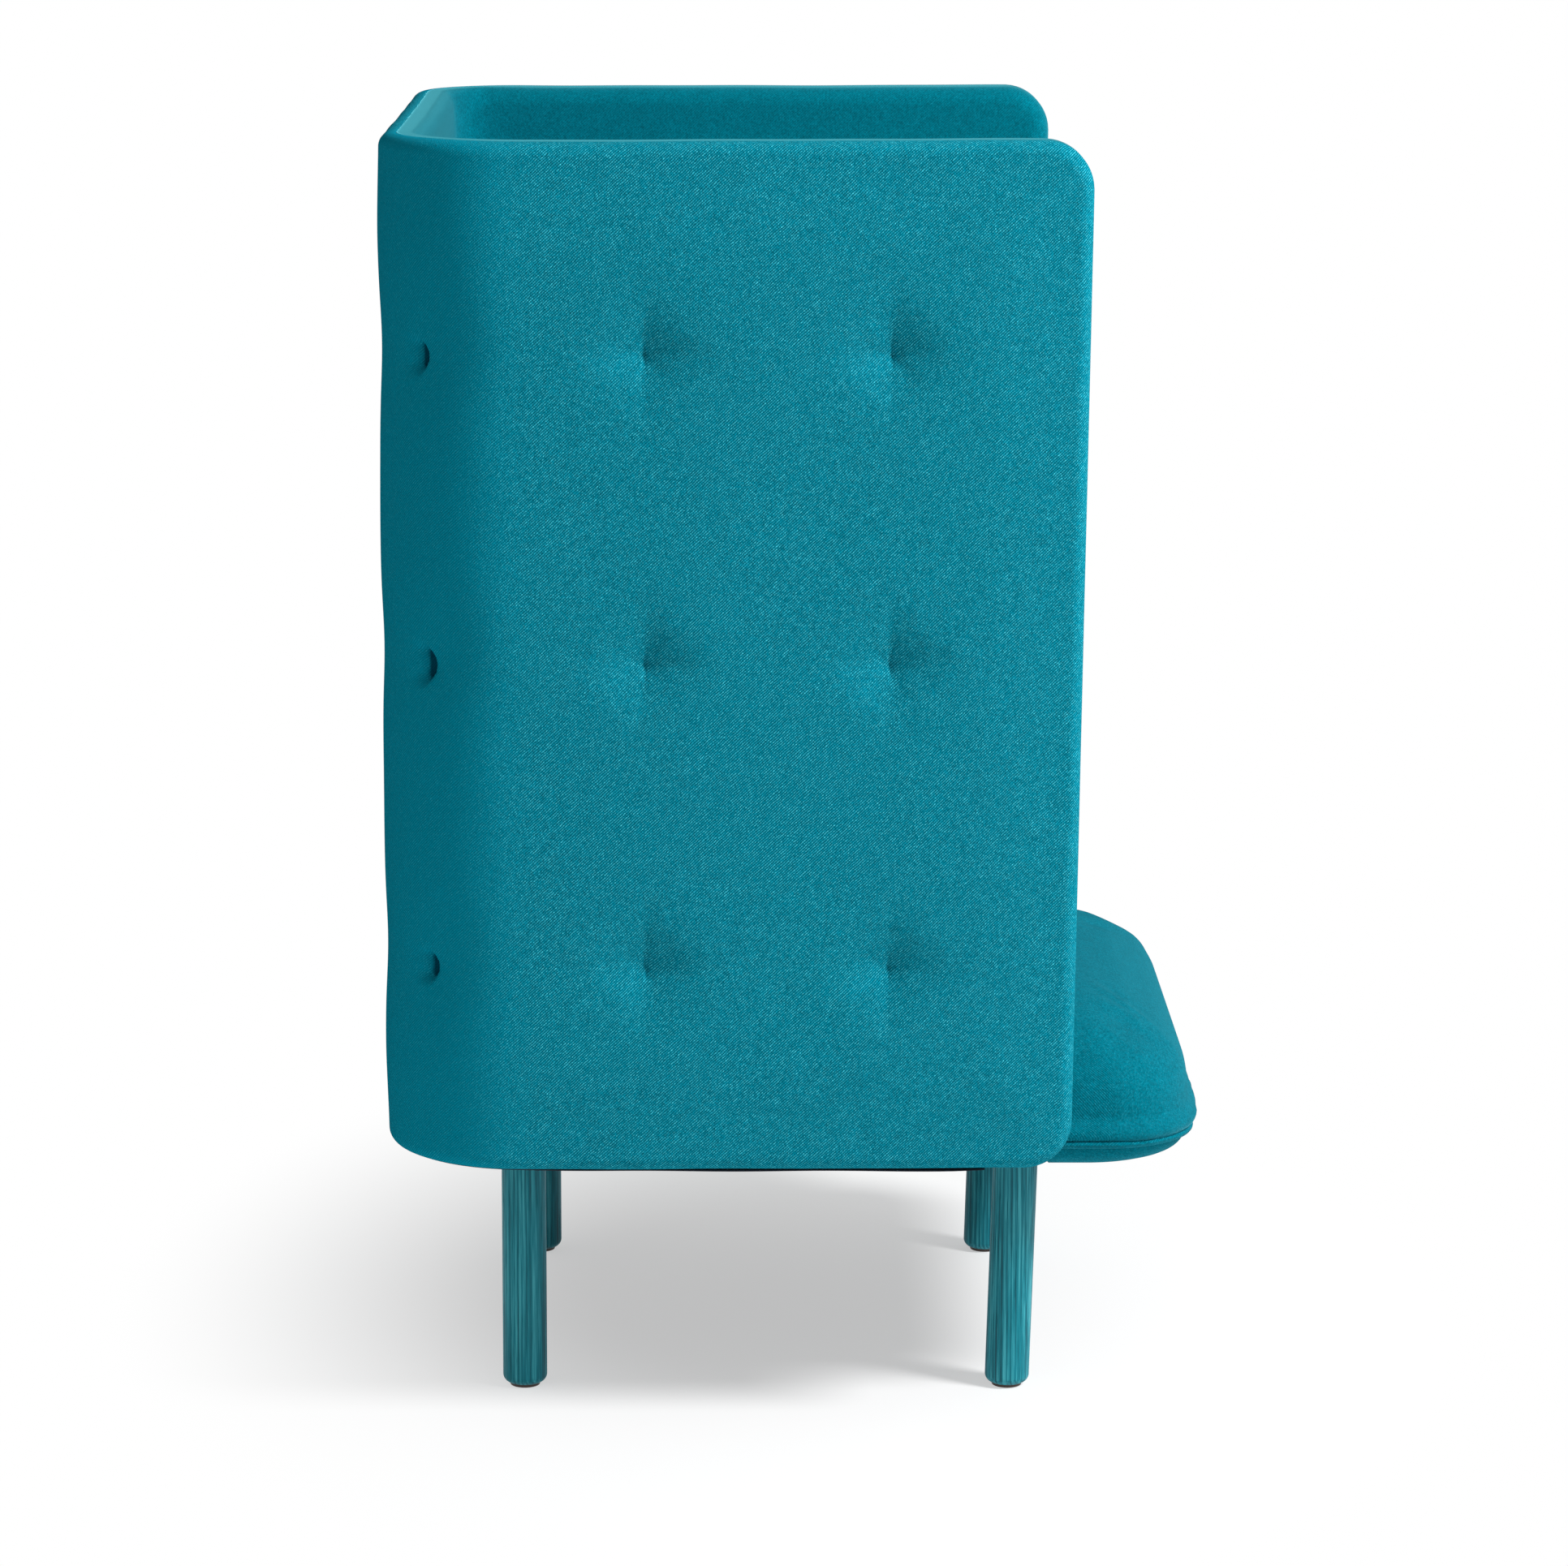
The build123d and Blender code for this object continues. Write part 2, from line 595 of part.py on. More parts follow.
def seat_frame():
    inner_x = FRAME_X - RAIL_T
    top = RAIL_TOP
    low = SEAT_BOTTOM
    board_top = low + BOARD_T
    rail_holes = screws(screw_places(), SCREW_CLEAR)
    board_holes = screws(board_screw_places(), SCREW_CLEAR)
    bolt_holes = bolt_rods(BOLT_D / 2 + HOLE_CLEAR, FRAME_IN)
    nodes = {}
    for name, x0, x1 in (("left", -FRAME_X, -inner_x), ("right", inner_x, FRAME_X)):
        rail = bar(x0, x1, FRAME_FRONT, FRAME_REAR, low, top)
        nodes[f"seat_{name}_rail"] = rail - rail_holes - board_holes - bolt_holes
    front = bar(-inner_x, inner_x, FRAME_FRONT, FRAME_FRONT + RAIL_T, low, top)
    rear = bar(-inner_x, inner_x, FRAME_REAR - RAIL_T, FRAME_REAR, low, top)
    nodes["seat_front_rail"] = front - rail_holes
    nodes["seat_rear_rail"] = rear - rail_holes - bolt_holes
    bores = []
    for _, x, _, y in leg_places():
        above = (x, y, board_top + OVER)
        bores.append(rod(BOLT_D / 2 + HOLE_CLEAR, (x, y, low - OVER), above))
        bores.append(rod(NUT_BARREL_D / 2 + HOLE_CLEAR, (x, y, board_top - NUT_BARREL_L), above))
    for name, y in (("front", FRONT_LEG_TOP_Y), ("rear", REAR_LEG_Y)):
        board = bar(-inner_x, inner_x, y - BOARD_W / 2, y + BOARD_W / 2, low, board_top)
        nodes[f"{name}_leg_board"] = board - bores - board_holes
    nodes["rail_screws"] = Compound(children=screws(screw_places(), 0))
    nodes["board_screws"] = Compound(children=screws(board_screw_places(), 0))
    return nodes


def webbing():
    outer_x = FRAME_X - STRAP_END
    front = FRAME_FRONT + STRAP_END
    rear = FRAME_REAR - STRAP_END
    half = STRAP_W / 2
    inner_x = FRAME_X - RAIL_T
    long_straps = []
    for x in strap_middles(LONG_STRAPS, -inner_x, inner_x):
        long_straps.append(bar(x - half, x + half, front, rear, RAIL_TOP, RAIL_TOP + STRAP_T))
    cross_straps = []
    for y in strap_middles(CROSS_STRAPS, FRAME_FRONT + RAIL_T, FRAME_REAR - RAIL_T):
        cross_straps.append(bar(-outer_x, outer_x, y - half, y + half, RAIL_TOP + STRAP_T, DECK))
    return {"long_straps": Compound(children=long_straps),
            "cross_straps": Compound(children=cross_straps)}


def dust_cover():
    """Thin cloth under the seat frame and the screen's lower rim, open round each leg."""
    front = FRAME_FRONT + STRAP_END
    half = FRAME_X - STRAP_END
    low = SEAT_BOTTOM - DUST_T
    middle = bar(-half, half, front, SEAT_REAR, low, SEAT_BOTTOM)
    under_rim = back_block(DUST_INSET) & level_slab(low, SEAT_BOTTOM)
    under_rim &= bar(-WIDTH, WIDTH, FRONT_Y + DUST_SETBACK, DEPTH, 0, SEAT_BOTTOM)
    holes = []
    for _, x, _, y in leg_places():
        holes.append(rod(LEG_D / 2 + DUST_LEG_CLEAR, (x, y, low - OVER), (x, y, SEAT_BOTTOM + OVER)))
    return middle + under_rim - holes


# ---- Legs ----

def legs_and_glides():
    nodes = {}
    bolts = []
    nuts = []
    board_top = SEAT_BOTTOM + BOARD_T
    for name, x, foot_y, top_y in leg_places():
        foot = Vector(x, foot_y, GLIDE_T)
        top = Vector(x, top_y, SEAT_BOTTOM)
        along = (top - foot).normalized()
        long_rod = rod(LEG_D / 2, foot - along * LEG_D, top + along * LEG_D)
        leg = long_rod & level_slab(GLIDE_T, SEAT_BOTTOM)
        leg = fillet(leg.edges().group_by(Axis.Z)[0], LEG_END_R)
        bolt_low = (x, top_y, SEAT_BOTTOM - LEG_BOLT_DEPTH)
        leg -= rod(BOLT_D / 2 + HOLE_CLEAR, bolt_low, (x, top_y, SEAT_BOTTOM + OVER))
        pin_top = GLIDE_T + GLIDE_PIN_L + OVER
        leg -= rod(GLIDE_PIN_D / 2 + PIN_CLEAR, (x, foot_y, GLIDE_T - OVER), (x, foot_y, pin_top))
        nodes[name + "_leg"] = leg
        nodes[name + "_glide"] = glide(x, foot_y)
        bolts.append(rod(BOLT_D / 2, bolt_low, (x, top_y, board_top)))
        nuts.append(tee_nut(x, top_y, board_top))
    nodes["leg_bolts"] = Compound(children=bolts)
    nodes["leg_tee_nuts"] = Compound(children=nuts)
    return nodes


def glide(x, y):
    disc = rod(GLIDE_D / 2, (x, y, 0), (x, y, GLIDE_T))
    disc = fillet(disc.edges().group_by(Axis.Z)[0], GLIDE_EDGE_R)
    return disc + rod(GLIDE_PIN_D / 2, (x, y, GLIDE_T / 2), (x, y, GLIDE_T + GLIDE_PIN_L))


def tee_nut(x, y, face):
    """A nut whose flange lies on a board's upper face and whose barrel goes down into it."""
    barrel_low = face - NUT_BARREL_L + NUT_END_CLEAR
    top = face + NUT_FLANGE_T
    flange = rod(NUT_FLANGE_D / 2, (x, y, face), (x, y, top))
    barrel = rod(NUT_BARREL_D / 2, (x, y, barrel_low), (x, y, top))
    bore = rod(BOLT_D / 2 + THREAD_CLEAR, (x, y, face - NUT_BARREL_L), (x, y, top + OVER))
    return flange + barrel - bore


def chair():
    nodes = {}
    nodes.update(outer_upholstery())
    nodes.update(inner_upholstery())
    nodes["tuft_ties"] = tuft_ties()
    nodes.update(liners())
    nodes.update(timber_frame())
    nodes.update(screen_fasteners())
    nodes.update(seat_upholstery())
    nodes.update(seat_frame())
    nodes.update(webbing())
    nodes["dust_cover"] = dust_cover()
    nodes.update(legs_and_glides())
    return nodes


os.makedirs("parts", exist_ok=True)
for node, shape in chair().items():
    export_step(shape, f"parts/{node}.step")
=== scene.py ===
"""High back lounge chair: the cloth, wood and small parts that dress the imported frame.

Metres, in the frame's own axes: +Z is up, the sitter faces -Y, and the floor is at zero.
"""
import json
import math

import bmesh
import bpy
import numpy as np
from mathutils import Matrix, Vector

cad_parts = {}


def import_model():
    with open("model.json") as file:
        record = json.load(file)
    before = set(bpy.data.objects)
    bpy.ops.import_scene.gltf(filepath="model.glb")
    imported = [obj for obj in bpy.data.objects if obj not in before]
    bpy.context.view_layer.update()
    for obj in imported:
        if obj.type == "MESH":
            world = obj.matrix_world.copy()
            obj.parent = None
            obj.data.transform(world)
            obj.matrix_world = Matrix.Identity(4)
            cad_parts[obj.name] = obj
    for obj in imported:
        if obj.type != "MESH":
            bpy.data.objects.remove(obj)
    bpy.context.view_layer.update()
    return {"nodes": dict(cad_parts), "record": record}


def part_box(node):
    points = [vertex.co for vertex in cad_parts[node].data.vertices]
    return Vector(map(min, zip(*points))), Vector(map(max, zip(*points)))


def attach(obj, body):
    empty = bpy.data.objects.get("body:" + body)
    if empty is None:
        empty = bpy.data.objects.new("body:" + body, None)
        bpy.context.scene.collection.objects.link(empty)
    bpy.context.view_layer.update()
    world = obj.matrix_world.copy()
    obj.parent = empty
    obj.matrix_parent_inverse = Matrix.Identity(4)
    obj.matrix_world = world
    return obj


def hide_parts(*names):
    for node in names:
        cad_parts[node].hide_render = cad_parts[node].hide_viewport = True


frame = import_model()
NODES = frame["nodes"]

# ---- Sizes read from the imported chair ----
SCREEN_LOW, SCREEN_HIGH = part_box("outer_cover")
WELT_LOW, WELT_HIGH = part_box("seat_welt")
CUSHION_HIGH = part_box("seat_cover")[1]
BAND_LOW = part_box("seat_band")[0]
DUST_LOW, DUST_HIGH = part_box("dust_cover")

HALF = SCREEN_HIGH.x
BACK = SCREEN_HIGH.y
FRONT = SCREEN_LOW.y
TOP = SCREEN_HIGH.z
LOW = SCREEN_LOW.z
MIDDLE = (LOW + TOP) / 2

# ---- Sizes of the screen, as the source has them ----
SIDE = BACK - FRONT
PLAN_R = 0.130            # the rear corners, seen from above
SIDE_R = 0.049            # the sides' front corners, seen from the side
LEAN = 0.0126             # how far back the front edges stand at their foot
WALL = 0.062              # from the outer face to the inner one
PAD = 0.018               # the outer pad, which ends at the seam line
LINER_FACE = 0.041        # from the outer face to the inner liner's face
OUTER_RIM = 0.014         # the outer cover's bend onto the rim
INNER_RIM = 0.020         # the inner cover's bend onto the rim
RIM_PAD = 0.012           # the inner pad's thickness over the rim
MARGIN = 0.055            # the mesh runs in rings this far in from the screen's rim

# ---- How full the pads are ----
PUFF = 0.005              # how far the outer pad stands proud between its tufts
INNER_PUFF = 0.003
OUTER_ROOM = 0.0137       # how far the outer pad's face can go in before it meets its liner
INNER_ROOM = 0.0150
INNER_THINNING = 0.37     # the share that the inner back pad loses towards the top

# ---- Tufts ----
TUFT_EDGE = 0.209
TUFT_BACK_X = 0.130
TUFT_SIDE_NEAR = 0.266
TUFT_SIDE_FAR = 0.509
TUFT_PULL = 0.0165        # how deep a tuft would go with no liner behind the pad
CORNER_TUFT_DROP = 0.004
CORNER_SLITS = ((0.0140, 0.88), (0.0170, 1.0), (0.0145, 0.9))   # (height, depth's share), from the lowest up
CORNER_TUFT_SHIFTS = (0.019, 0.020, 0.013)   # towards the chair's sides, from the lowest tuft up

# ---- Seat ----
SEAT_X = CUSHION_HIGH.x
SEAT_FRONT = WELT_LOW.y
SEAT_REAR = CUSHION_HIGH.y
SEAT_MIDDLE = (SEAT_FRONT + SEAT_REAR) / 2
SEAT_FRONT_R = 0.090
SEAT_REAR_R = 0.066
WELT_R = (WELT_HIGH.z - WELT_LOW.z) / 2
WELT_Z = (WELT_HIGH.z + WELT_LOW.z) / 2
SEAT_START = WELT_Z + WELT_R + 0.0003      # the level of the cushion's lower seam
SEAT_JOIN = 0.0093        # the band starts this far in from the seat's outline
BAND_TUCK = 0.031         # and turns in this much more on its way down
BAND_SAG = 0.007          # how far the band hangs below its solid
SEAT_BULGE = 0.0048       # how far the cushion's front stands proud in the middle
CROWN_OVER = 0.002        # the most that the cushion's crown may stand above its solid
GATHER = 0.00025          # the size of the slight gathers at the cushion's seam

STRAIGHT = SIDE - PLAN_R
ARC = PLAN_R * math.pi / 2
ACROSS = 2 * (HALF - PLAN_R)
ROUND = 2 * STRAIGHT + 2 * ARC + ACROSS


def smooth(value, start, end):
    """0 at start and 1 at end, eased at both."""
    share = np.clip((value - start) / (end - start), 0, 1)
    return share * share * (3 - 2 * share)


def ripple(run, length, phase=0.0):
    """A cosine of the given length along a run."""
    return np.cos(6.283 * run / length + phase)


def any_turn(rng):
    """A random angle in radians."""
    return rng.uniform(0, 6.28)


# ---- Mesh helpers ----

def add_object(name, data):
    piece = bpy.data.objects.new(name, data)
    bpy.context.scene.collection.objects.link(piece)
    return piece


def shade_smooth(mesh):
    mesh.polygons.foreach_set("use_smooth", np.ones(len(mesh.polygons), bool))


def lay_cloth(mesh, flat):
    """Gives the mesh its cloth's flat map: two flat places for each of its points."""
    corners = np.zeros(len(mesh.loops), np.int32)
    mesh.loops.foreach_get("vertex_index", corners)
    layer = mesh.uv_layers.new(name="cloth")
    layer.data.foreach_set("uv", flat[corners].astype(np.float32).ravel())


def positions(mesh):
    flat = np.zeros(len(mesh.vertices) * 3, np.float32)
    mesh.vertices.foreach_get("co", flat)
    return flat.reshape(-1, 3).astype(float)


def set_positions(mesh, points):
    mesh.vertices.foreach_set("co", np.asarray(points, np.float32).ravel())
    mesh.update()


def deselect():
    bpy.ops.object.select_all(action="DESELECT")


def apply_modifier(piece, modifier):
    deselect()
    bpy.context.view_layer.objects.active = piece
    piece.select_set(True)
    bpy.ops.object.modifier_apply(modifier=modifier.name)


# ---- Shader helpers ----

def put(tree, kind, inputs=None, **settings):
    """A node with its settings; each input is a number, a colour or another node's output."""
    node = tree.nodes.new(kind)
    for name, value in settings.items():
        setattr(node, name, value)
    for key, value in (inputs or {}).items():
        if isinstance(value, bpy.types.NodeSocket):
            tree.links.new(value, node.inputs[key])
        else:
            node.inputs[key].default_value = value
    return node


def maths(tree, operation, *values):
    return put(tree, "ShaderNodeMath", dict(enumerate(values)), operation=operation).outputs[0]


def times(tree, first, second):
    return maths(tree, "MULTIPLY", first, second)


def plus(tree, first, second):
    return maths(tree, "ADD", first, second)


def blend_colours(tree, share, first, second, how="MIX"):
    inputs = {0: share, 6: first, 7: second}
    return put(tree, "ShaderNodeMix", inputs, data_type="RGBA", blend_type=how).outputs[2]


def noise(tree, place, scale, detail=2.0, rough=0.5):
    inputs = {"Vector": place, "Scale": scale, "Detail": detail, "Roughness": rough}
    return put(tree, "ShaderNodeTexNoise", inputs).outputs["Fac"]


def ranged(tree, value, low, high, to_low=0.0, to_high=1.0, how="LINEAR"):
    inputs = {"Value": value, "From Min": low, "From Max": high, "To Min": to_low, "To Max": to_high}
    return put(tree, "ShaderNodeMapRange", inputs, interpolation_type=how).outputs["Result"]


def object_place(tree):
    return put(tree, "ShaderNodeTexCoord").outputs["Object"]


def mesh_mark(tree, name):
    return put(tree, "ShaderNodeAttribute", attribute_name=name).outputs["Fac"]


def new_group(name, wanted, given):
    """An empty node group with named inputs (name, kind, value) and outputs (name, kind)."""
    group = bpy.data.node_groups.new(name, "ShaderNodeTree")
    for label, kind, value in wanted:
        socket = group.interface.new_socket(label, in_out="INPUT", socket_type=kind)
        if value is not None:
            socket.default_value = value
    for label, kind in given:
        group.interface.new_socket(label, in_out="OUTPUT", socket_type=kind)
    return group, group.nodes.new("NodeGroupInput").outputs, group.nodes.new("NodeGroupOutput").inputs


def place_group(tree, group, inputs):
    return put(tree, "ShaderNodeGroup", inputs, node_tree=group).outputs


def new_material(name, **shader_values):
    """A material with one Principled shader, and its tree."""
    material = bpy.data.materials.new(name)
    material.use_nodes = True
    tree = material.node_tree
    shader = tree.nodes["Principled BSDF"]
    for key, value in shader_values.items():
        shader.inputs[key.replace("_", " ")].default_value = value
    return material, tree, shader


def add_bump(tree, shader, height, distance):
    bump = put(tree, "ShaderNodeBump", {"Height": height, "Distance": distance, "Strength": 1.0})
    tree.links.new(bump.outputs[0], shader.inputs["Normal"])


# ---- Shared effects ----

def make_twill():
    """Heathered twill: slanting ribs broken into stitches of uneven shade; the ribs' valleys are painted
    darker and their crests carry light flecks, heathered yarns that are partly painted highlight.
    """
    colour = "NodeSocketColor"
    group, given, out = new_group(
        "heathered_twill",
        [("Cloth", "NodeSocketVector", None), ("Place", "NodeSocketVector", None),
         ("Ribs per metre", "NodeSocketFloat", 465.0), ("Dark", colour, None),
         ("Main", colour, None), ("Light", colour, None), ("Fleck", "NodeSocketFloat", 1.0)],
        [("Color", colour), ("Height", "NodeSocketFloat")])
    rib_x, rib_y = 0.733, 0.68        # the way that the ribs run on the flat cloth
    split = put(group, "ShaderNodeSeparateXYZ", {0: given["Cloth"]}).outputs
    across = maths(group, "SUBTRACT", times(group, split[0], rib_y), times(group, split[1], rib_x))
    along = plus(group, times(group, split[0], rib_x), times(group, split[1], rib_y))
    drift = times(group, noise(group, given["Place"], 120.0, 2.0), 0.0014)
    rib = times(group, plus(group, across, drift), given["Ribs per metre"])
    row = maths(group, "FLOOR", rib)
    shift = put(group, "ShaderNodeTexWhiteNoise", {"W": row}, noise_dimensions="1D").outputs["Value"]
    run = plus(group, times(group, plus(group, along, drift), given["Ribs per metre"]),
               times(group, shift, 0.35))
    stitch = maths(group, "FLOOR", run)
    cell = put(group, "ShaderNodeCombineXYZ", {0: row, 1: stitch}).outputs[0]
    chance = put(group, "ShaderNodeTexWhiteNoise", {"Vector": cell}, noise_dimensions="2D").outputs["Value"]
    crest = ranged(group, maths(group, "PINGPONG", rib, 0.5), 0.0, 0.46, how="SMOOTHSTEP")
    tip = ranged(group, maths(group, "PINGPONG", run, 0.5), 0.0, 0.25, how="SMOOTHSTEP")
    height = times(group, crest, ranged(group, tip, 0.0, 1.0, 0.55, 1.0))
    uneven = ranged(group, noise(group, given["Place"], 520.0, 2.0, 0.65), 0.36, 0.64, 0.1, 1.0)
    # Painted shade: the ribs' valleys take the darker colour, standing in for the shade between the ribs.
    body = blend_colours(group, ranged(group, height, 0.0, 0.7), given["Dark"], given["Main"])
    # Light flecks on the ribs' crests: heathered light yarns, and partly painted highlight where the ribs
    # catch the light.
    lit = times(group, ranged(group, chance, 0.0, 1.0, 0.15, 1.0), ranged(group, height, 0.3, 1.0))
    fleck = times(group, times(group, lit, uneven), given["Fleck"])
    flecked = blend_colours(group, fleck, body, given["Light"])
    speck = noise(group, given["Place"], 440.0, 2.0, 0.7)
    fine = ranged(group, speck, 0.3, 0.7, 0.72, 1.28)
    broad = ranged(group, noise(group, given["Place"], 75.0, 3.0, 0.6), 0.3, 0.7, 0.93, 1.07)
    tone = times(group, fine, broad)
    grey = put(group, "ShaderNodeCombineColor", {0: tone, 1: tone, 2: tone}).outputs[0]
    group.links.new(blend_colours(group, 1.0, flecked, grey, "MULTIPLY"), out["Color"])
    rough = times(group, height, ranged(group, chance, 0.0, 1.0, 0.55, 1.0))
    group.links.new(plus(group, rough, times(group, speck, 0.9)), out["Height"])
    return group


def make_grain():
    """Wood grain along the Z of the given place: growth rings with open pores, and fine fibres."""
    colour = "NodeSocketColor"
    group, given, out = new_group(
        "straight_grain",
        [("Place", "NodeSocketVector", None), ("Dark", colour, None), ("Main", colour, None),
         ("Light", colour, None)],
        [("Color", colour), ("Height", "NodeSocketFloat"), ("Pores", "NodeSocketFloat")])
    wide, thin = [
        put(group, "ShaderNodeMapping", {"Vector": given["Place"], "Scale": (1.0, 1.0, drawn_out)}).outputs[0]
        for drawn_out in (0.035, 0.012)]
    axes = put(group, "ShaderNodeSeparateXYZ", {0: given["Place"]}).outputs
    deep = plus(group, times(group, axes[0], 120.0), times(group, axes[1], 205.0))
    wavy = times(group, noise(group, wide, 30.0), 4.0)
    ring = maths(group, "FRACT", plus(group, deep, wavy))
    early = maths(group, "MAXIMUM", ranged(group, ring, 0.0, 0.5, 1.0, 0.0), ranged(group, ring, 0.86, 1.0))
    stripes = noise(group, wide, 210.0, 4.0, 0.62)
    fibres = noise(group, thin, 900.0, 3.0, 0.6)
    pores = ranged(group, noise(group, wide, 620.0, 2.0, 0.5), 0.56, 0.68, how="SMOOTHSTEP")
    mixed = plus(group, times(group, stripes, 0.6), times(group, fibres, 0.4))
    tone = maths(group, "SUBTRACT", plus(group, mixed, 0.055), times(group, early, 0.13))
    low = blend_colours(group, ranged(group, tone, 0.34, 0.5), given["Dark"], given["Main"])
    body = blend_colours(group, ranged(group, tone, 0.5, 0.66), low, given["Light"])
    open_pores = times(group, pores, ranged(group, early, 0.0, 1.0, 0.35, 1.0))
    stained = blend_colours(group, times(group, open_pores, 0.6), body, given["Dark"])
    group.links.new(stained, out["Color"])
    group.links.new(maths(group, "SUBTRACT", fibres, times(group, pores, 0.8)), out["Height"])
    group.links.new(pores, out["Pores"])
    return group


TWILL = make_twill()
GRAIN = make_grain()


# ---- Materials ----

# Painted shade: the flat colour that takes the place of the flecked twill round the screen's rear corners, as
# the weave looks in shade, and how much of it shows.
CORNER_SHADE_COLOUR = (0.0, 0.242, 0.346, 1)
CORNER_SHADE_SHARE = 0.7
# Painted shade: how far the deepest tuft folds are darkened.
CREASE_SHADE_SHARE = 0.85


def cloth_material(name, dark, main, light, fleck, bump, sheen=0.02, tint=(0.25, 0.7, 0.8, 1.0)):
    """Twill with two marks from the mesh, both painted shade: one where its light flecks give way to a flat
    colour, as the weave looks in shade, and one on the deepest folds, which are painted darker."""
    material, tree, shader = new_material(name, Roughness=0.95, Specular_IOR_Level=0.0,
                                          Sheen_Weight=sheen, Sheen_Roughness=0.35, Sheen_Tint=tint)
    outputs = place_group(tree, TWILL, {
        "Cloth": put(tree, "ShaderNodeUVMap", uv_map="cloth").outputs[0], "Place": object_place(tree),
        "Dark": dark, "Main": main, "Light": light, "Fleck": fleck})
    # Painted shade: the flecked twill gives way to a flat colour where the mesh marks it.
    drawn = times(tree, mesh_mark(tree, "drawn"), CORNER_SHADE_SHARE)
    # Painted shade: the deepest folds are darkened towards the dark yarn colour.
    crease = times(tree, mesh_mark(tree, "crease"), CREASE_SHADE_SHARE)
    level = blend_colours(tree, drawn, outputs["Color"], CORNER_SHADE_COLOUR)
    deep = blend_colours(tree, crease, level, dark, "MULTIPLY")
    tree.links.new(deep, shader.inputs["Base Color"])
    add_bump(tree, shader, outputs["Height"], bump)
    return material


def wood_material(name, dark, main, light, rough):
    """Straight-grained wood, rougher in its pores."""
    material, tree, shader = new_material(name, Roughness=rough, Specular_IOR_Level=0.22)
    outputs = place_group(tree, GRAIN, {
        "Place": object_place(tree), "Dark": dark, "Main": main, "Light": light})
    tree.links.new(outputs["Color"], shader.inputs["Base Color"])
    tree.links.new(ranged(tree, outputs["Pores"], 0.0, 1.0, rough, min(1.0, rough + 0.25)),
                   shader.inputs["Roughness"])
    add_bump(tree, shader, outputs["Height"], 0.0002)
    return material


def grainy_material(name, colours, scale, bump, **shader_values):
    """A plain stuff with a fine uneven surface: foam, board, straps, plating, moulded plastic."""
    material, tree, shader = new_material(name, **shader_values)
    level = noise(tree, object_place(tree), scale, 4.0, 0.65)
    shade = blend_colours(tree, ranged(tree, level, 0.35, 0.65), colours[0], colours[1])
    tree.links.new(shade, shader.inputs["Base Color"])
    add_bump(tree, shader, level, bump)
    return material


CLOTH = cloth_material("teal_heathered_twill", (0.0, 0.112, 0.162, 1), (0.0, 0.212, 0.298, 1),
                       (0.09, 0.70, 0.82, 1), fleck=0.86, bump=0.0006)
# Painted shade: the seat's twill is a darker copy of the screen's, offsetting the stronger light on the seat.
SEAT_CLOTH_SHADED = cloth_material("teal_twill_on_seat_painted_shade", (0.0, 0.118, 0.163, 1), (0.0, 0.15, 0.206, 1),
                            (0.03, 0.30, 0.38, 1), fleck=0.6, bump=0.0002, sheen=0.3)
# Painted shade: the inside's twill is a darker copy of the screen's, its flecks nearly flat, as the inside
# looks in shade.
INNER_CLOTH_SHADED = cloth_material("teal_twill_inside_painted_shade", (0.0, 0.118, 0.163, 1), (0.0, 0.142, 0.195, 1),
                             (0.01, 0.17, 0.225, 1), fleck=0.6, bump=0.0001, sheen=1.0,
                             tint=(0.18, 0.86, 1.0, 1.0))
ASH = wood_material("teal_stained_ash", (0.0, 0.07, 0.095, 1), (0.0, 0.18, 0.23, 1),
                    (0.05, 0.37, 0.43, 1), rough=0.5)
PLY = wood_material("raw_birch_plywood", (0.42, 0.29, 0.17, 1), (0.62, 0.47, 0.3, 1),
                    (0.72, 0.58, 0.4, 1), rough=0.7)
BOARD = grainy_material("pressed_hardboard", ((0.22, 0.13, 0.07, 1), (0.32, 0.2, 0.12, 1)), 400.0, 0.0001,
                        Roughness=0.6)
FOAM = grainy_material("open_cell_foam", ((0.66, 0.62, 0.5, 1), (0.8, 0.76, 0.66, 1)), 700.0, 0.0006,
                       Roughness=0.95)
DUST = grainy_material("spun_dust_cloth", ((0.004, 0.007, 0.014, 1), (0.012, 0.02, 0.035, 1)), 900.0, 0.0002,
                       Roughness=0.9)
STRAP = grainy_material("woven_strap", ((0.02, 0.02, 0.024, 1), (0.06, 0.06, 0.068, 1)), 800.0, 0.0003,
                        Roughness=0.8)
TWINE = grainy_material("waxed_twine", ((0.01, 0.11, 0.14, 1), (0.03, 0.2, 0.24, 1)), 900.0, 0.0003,
                        Roughness=0.5)
ZINC = grainy_material("zinc_plating", ((0.5, 0.5, 0.47, 1), (0.66, 0.66, 0.63, 1)), 300.0, 0.00005,
                       Roughness=0.35, Metallic=1.0)
GLIDE = grainy_material("brown_nylon", ((0.035, 0.017, 0.011, 1), (0.055, 0.028, 0.019, 1)), 500.0, 0.0001,
                        Roughness=0.45)

SLOT_MATERIALS = {
    "teal_cloth": CLOTH, "foam": FOAM, "stained_ash": ASH, "zinc_steel": ZINC, "brown_glide": GLIDE,
    "hardboard": BOARD, "webbing": STRAP, "dust_cloth": DUST, "waxed_twine": TWINE, "plywood": PLY,
}


def dress_nodes():
    """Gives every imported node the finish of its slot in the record."""
    for part in frame["record"]["subparts"]:
        mesh = NODES[part["node"]].data
        mesh.materials.clear()
        mesh.materials.append(SLOT_MATERIALS[part["material_slot"]])


# ---- The screen's covers ----

def graded_lines(start, end, points, fine, coarse, near, growth):
    """Places of mesh lines between two ends: close together at the points, wide apart elsewhere."""
    places = np.linspace(start, end, 20001)
    away = np.min(np.abs(places[:, None] - np.array(points)[None, :]), axis=1)
    spacing = np.minimum(coarse, fine + growth * np.maximum(0, away - near))
    count = np.concatenate([[0], np.cumsum(np.diff(places) / spacing[1:])])
    return np.interp(np.linspace(0, count[-1], math.ceil(count[-1]) + 1), count, places)


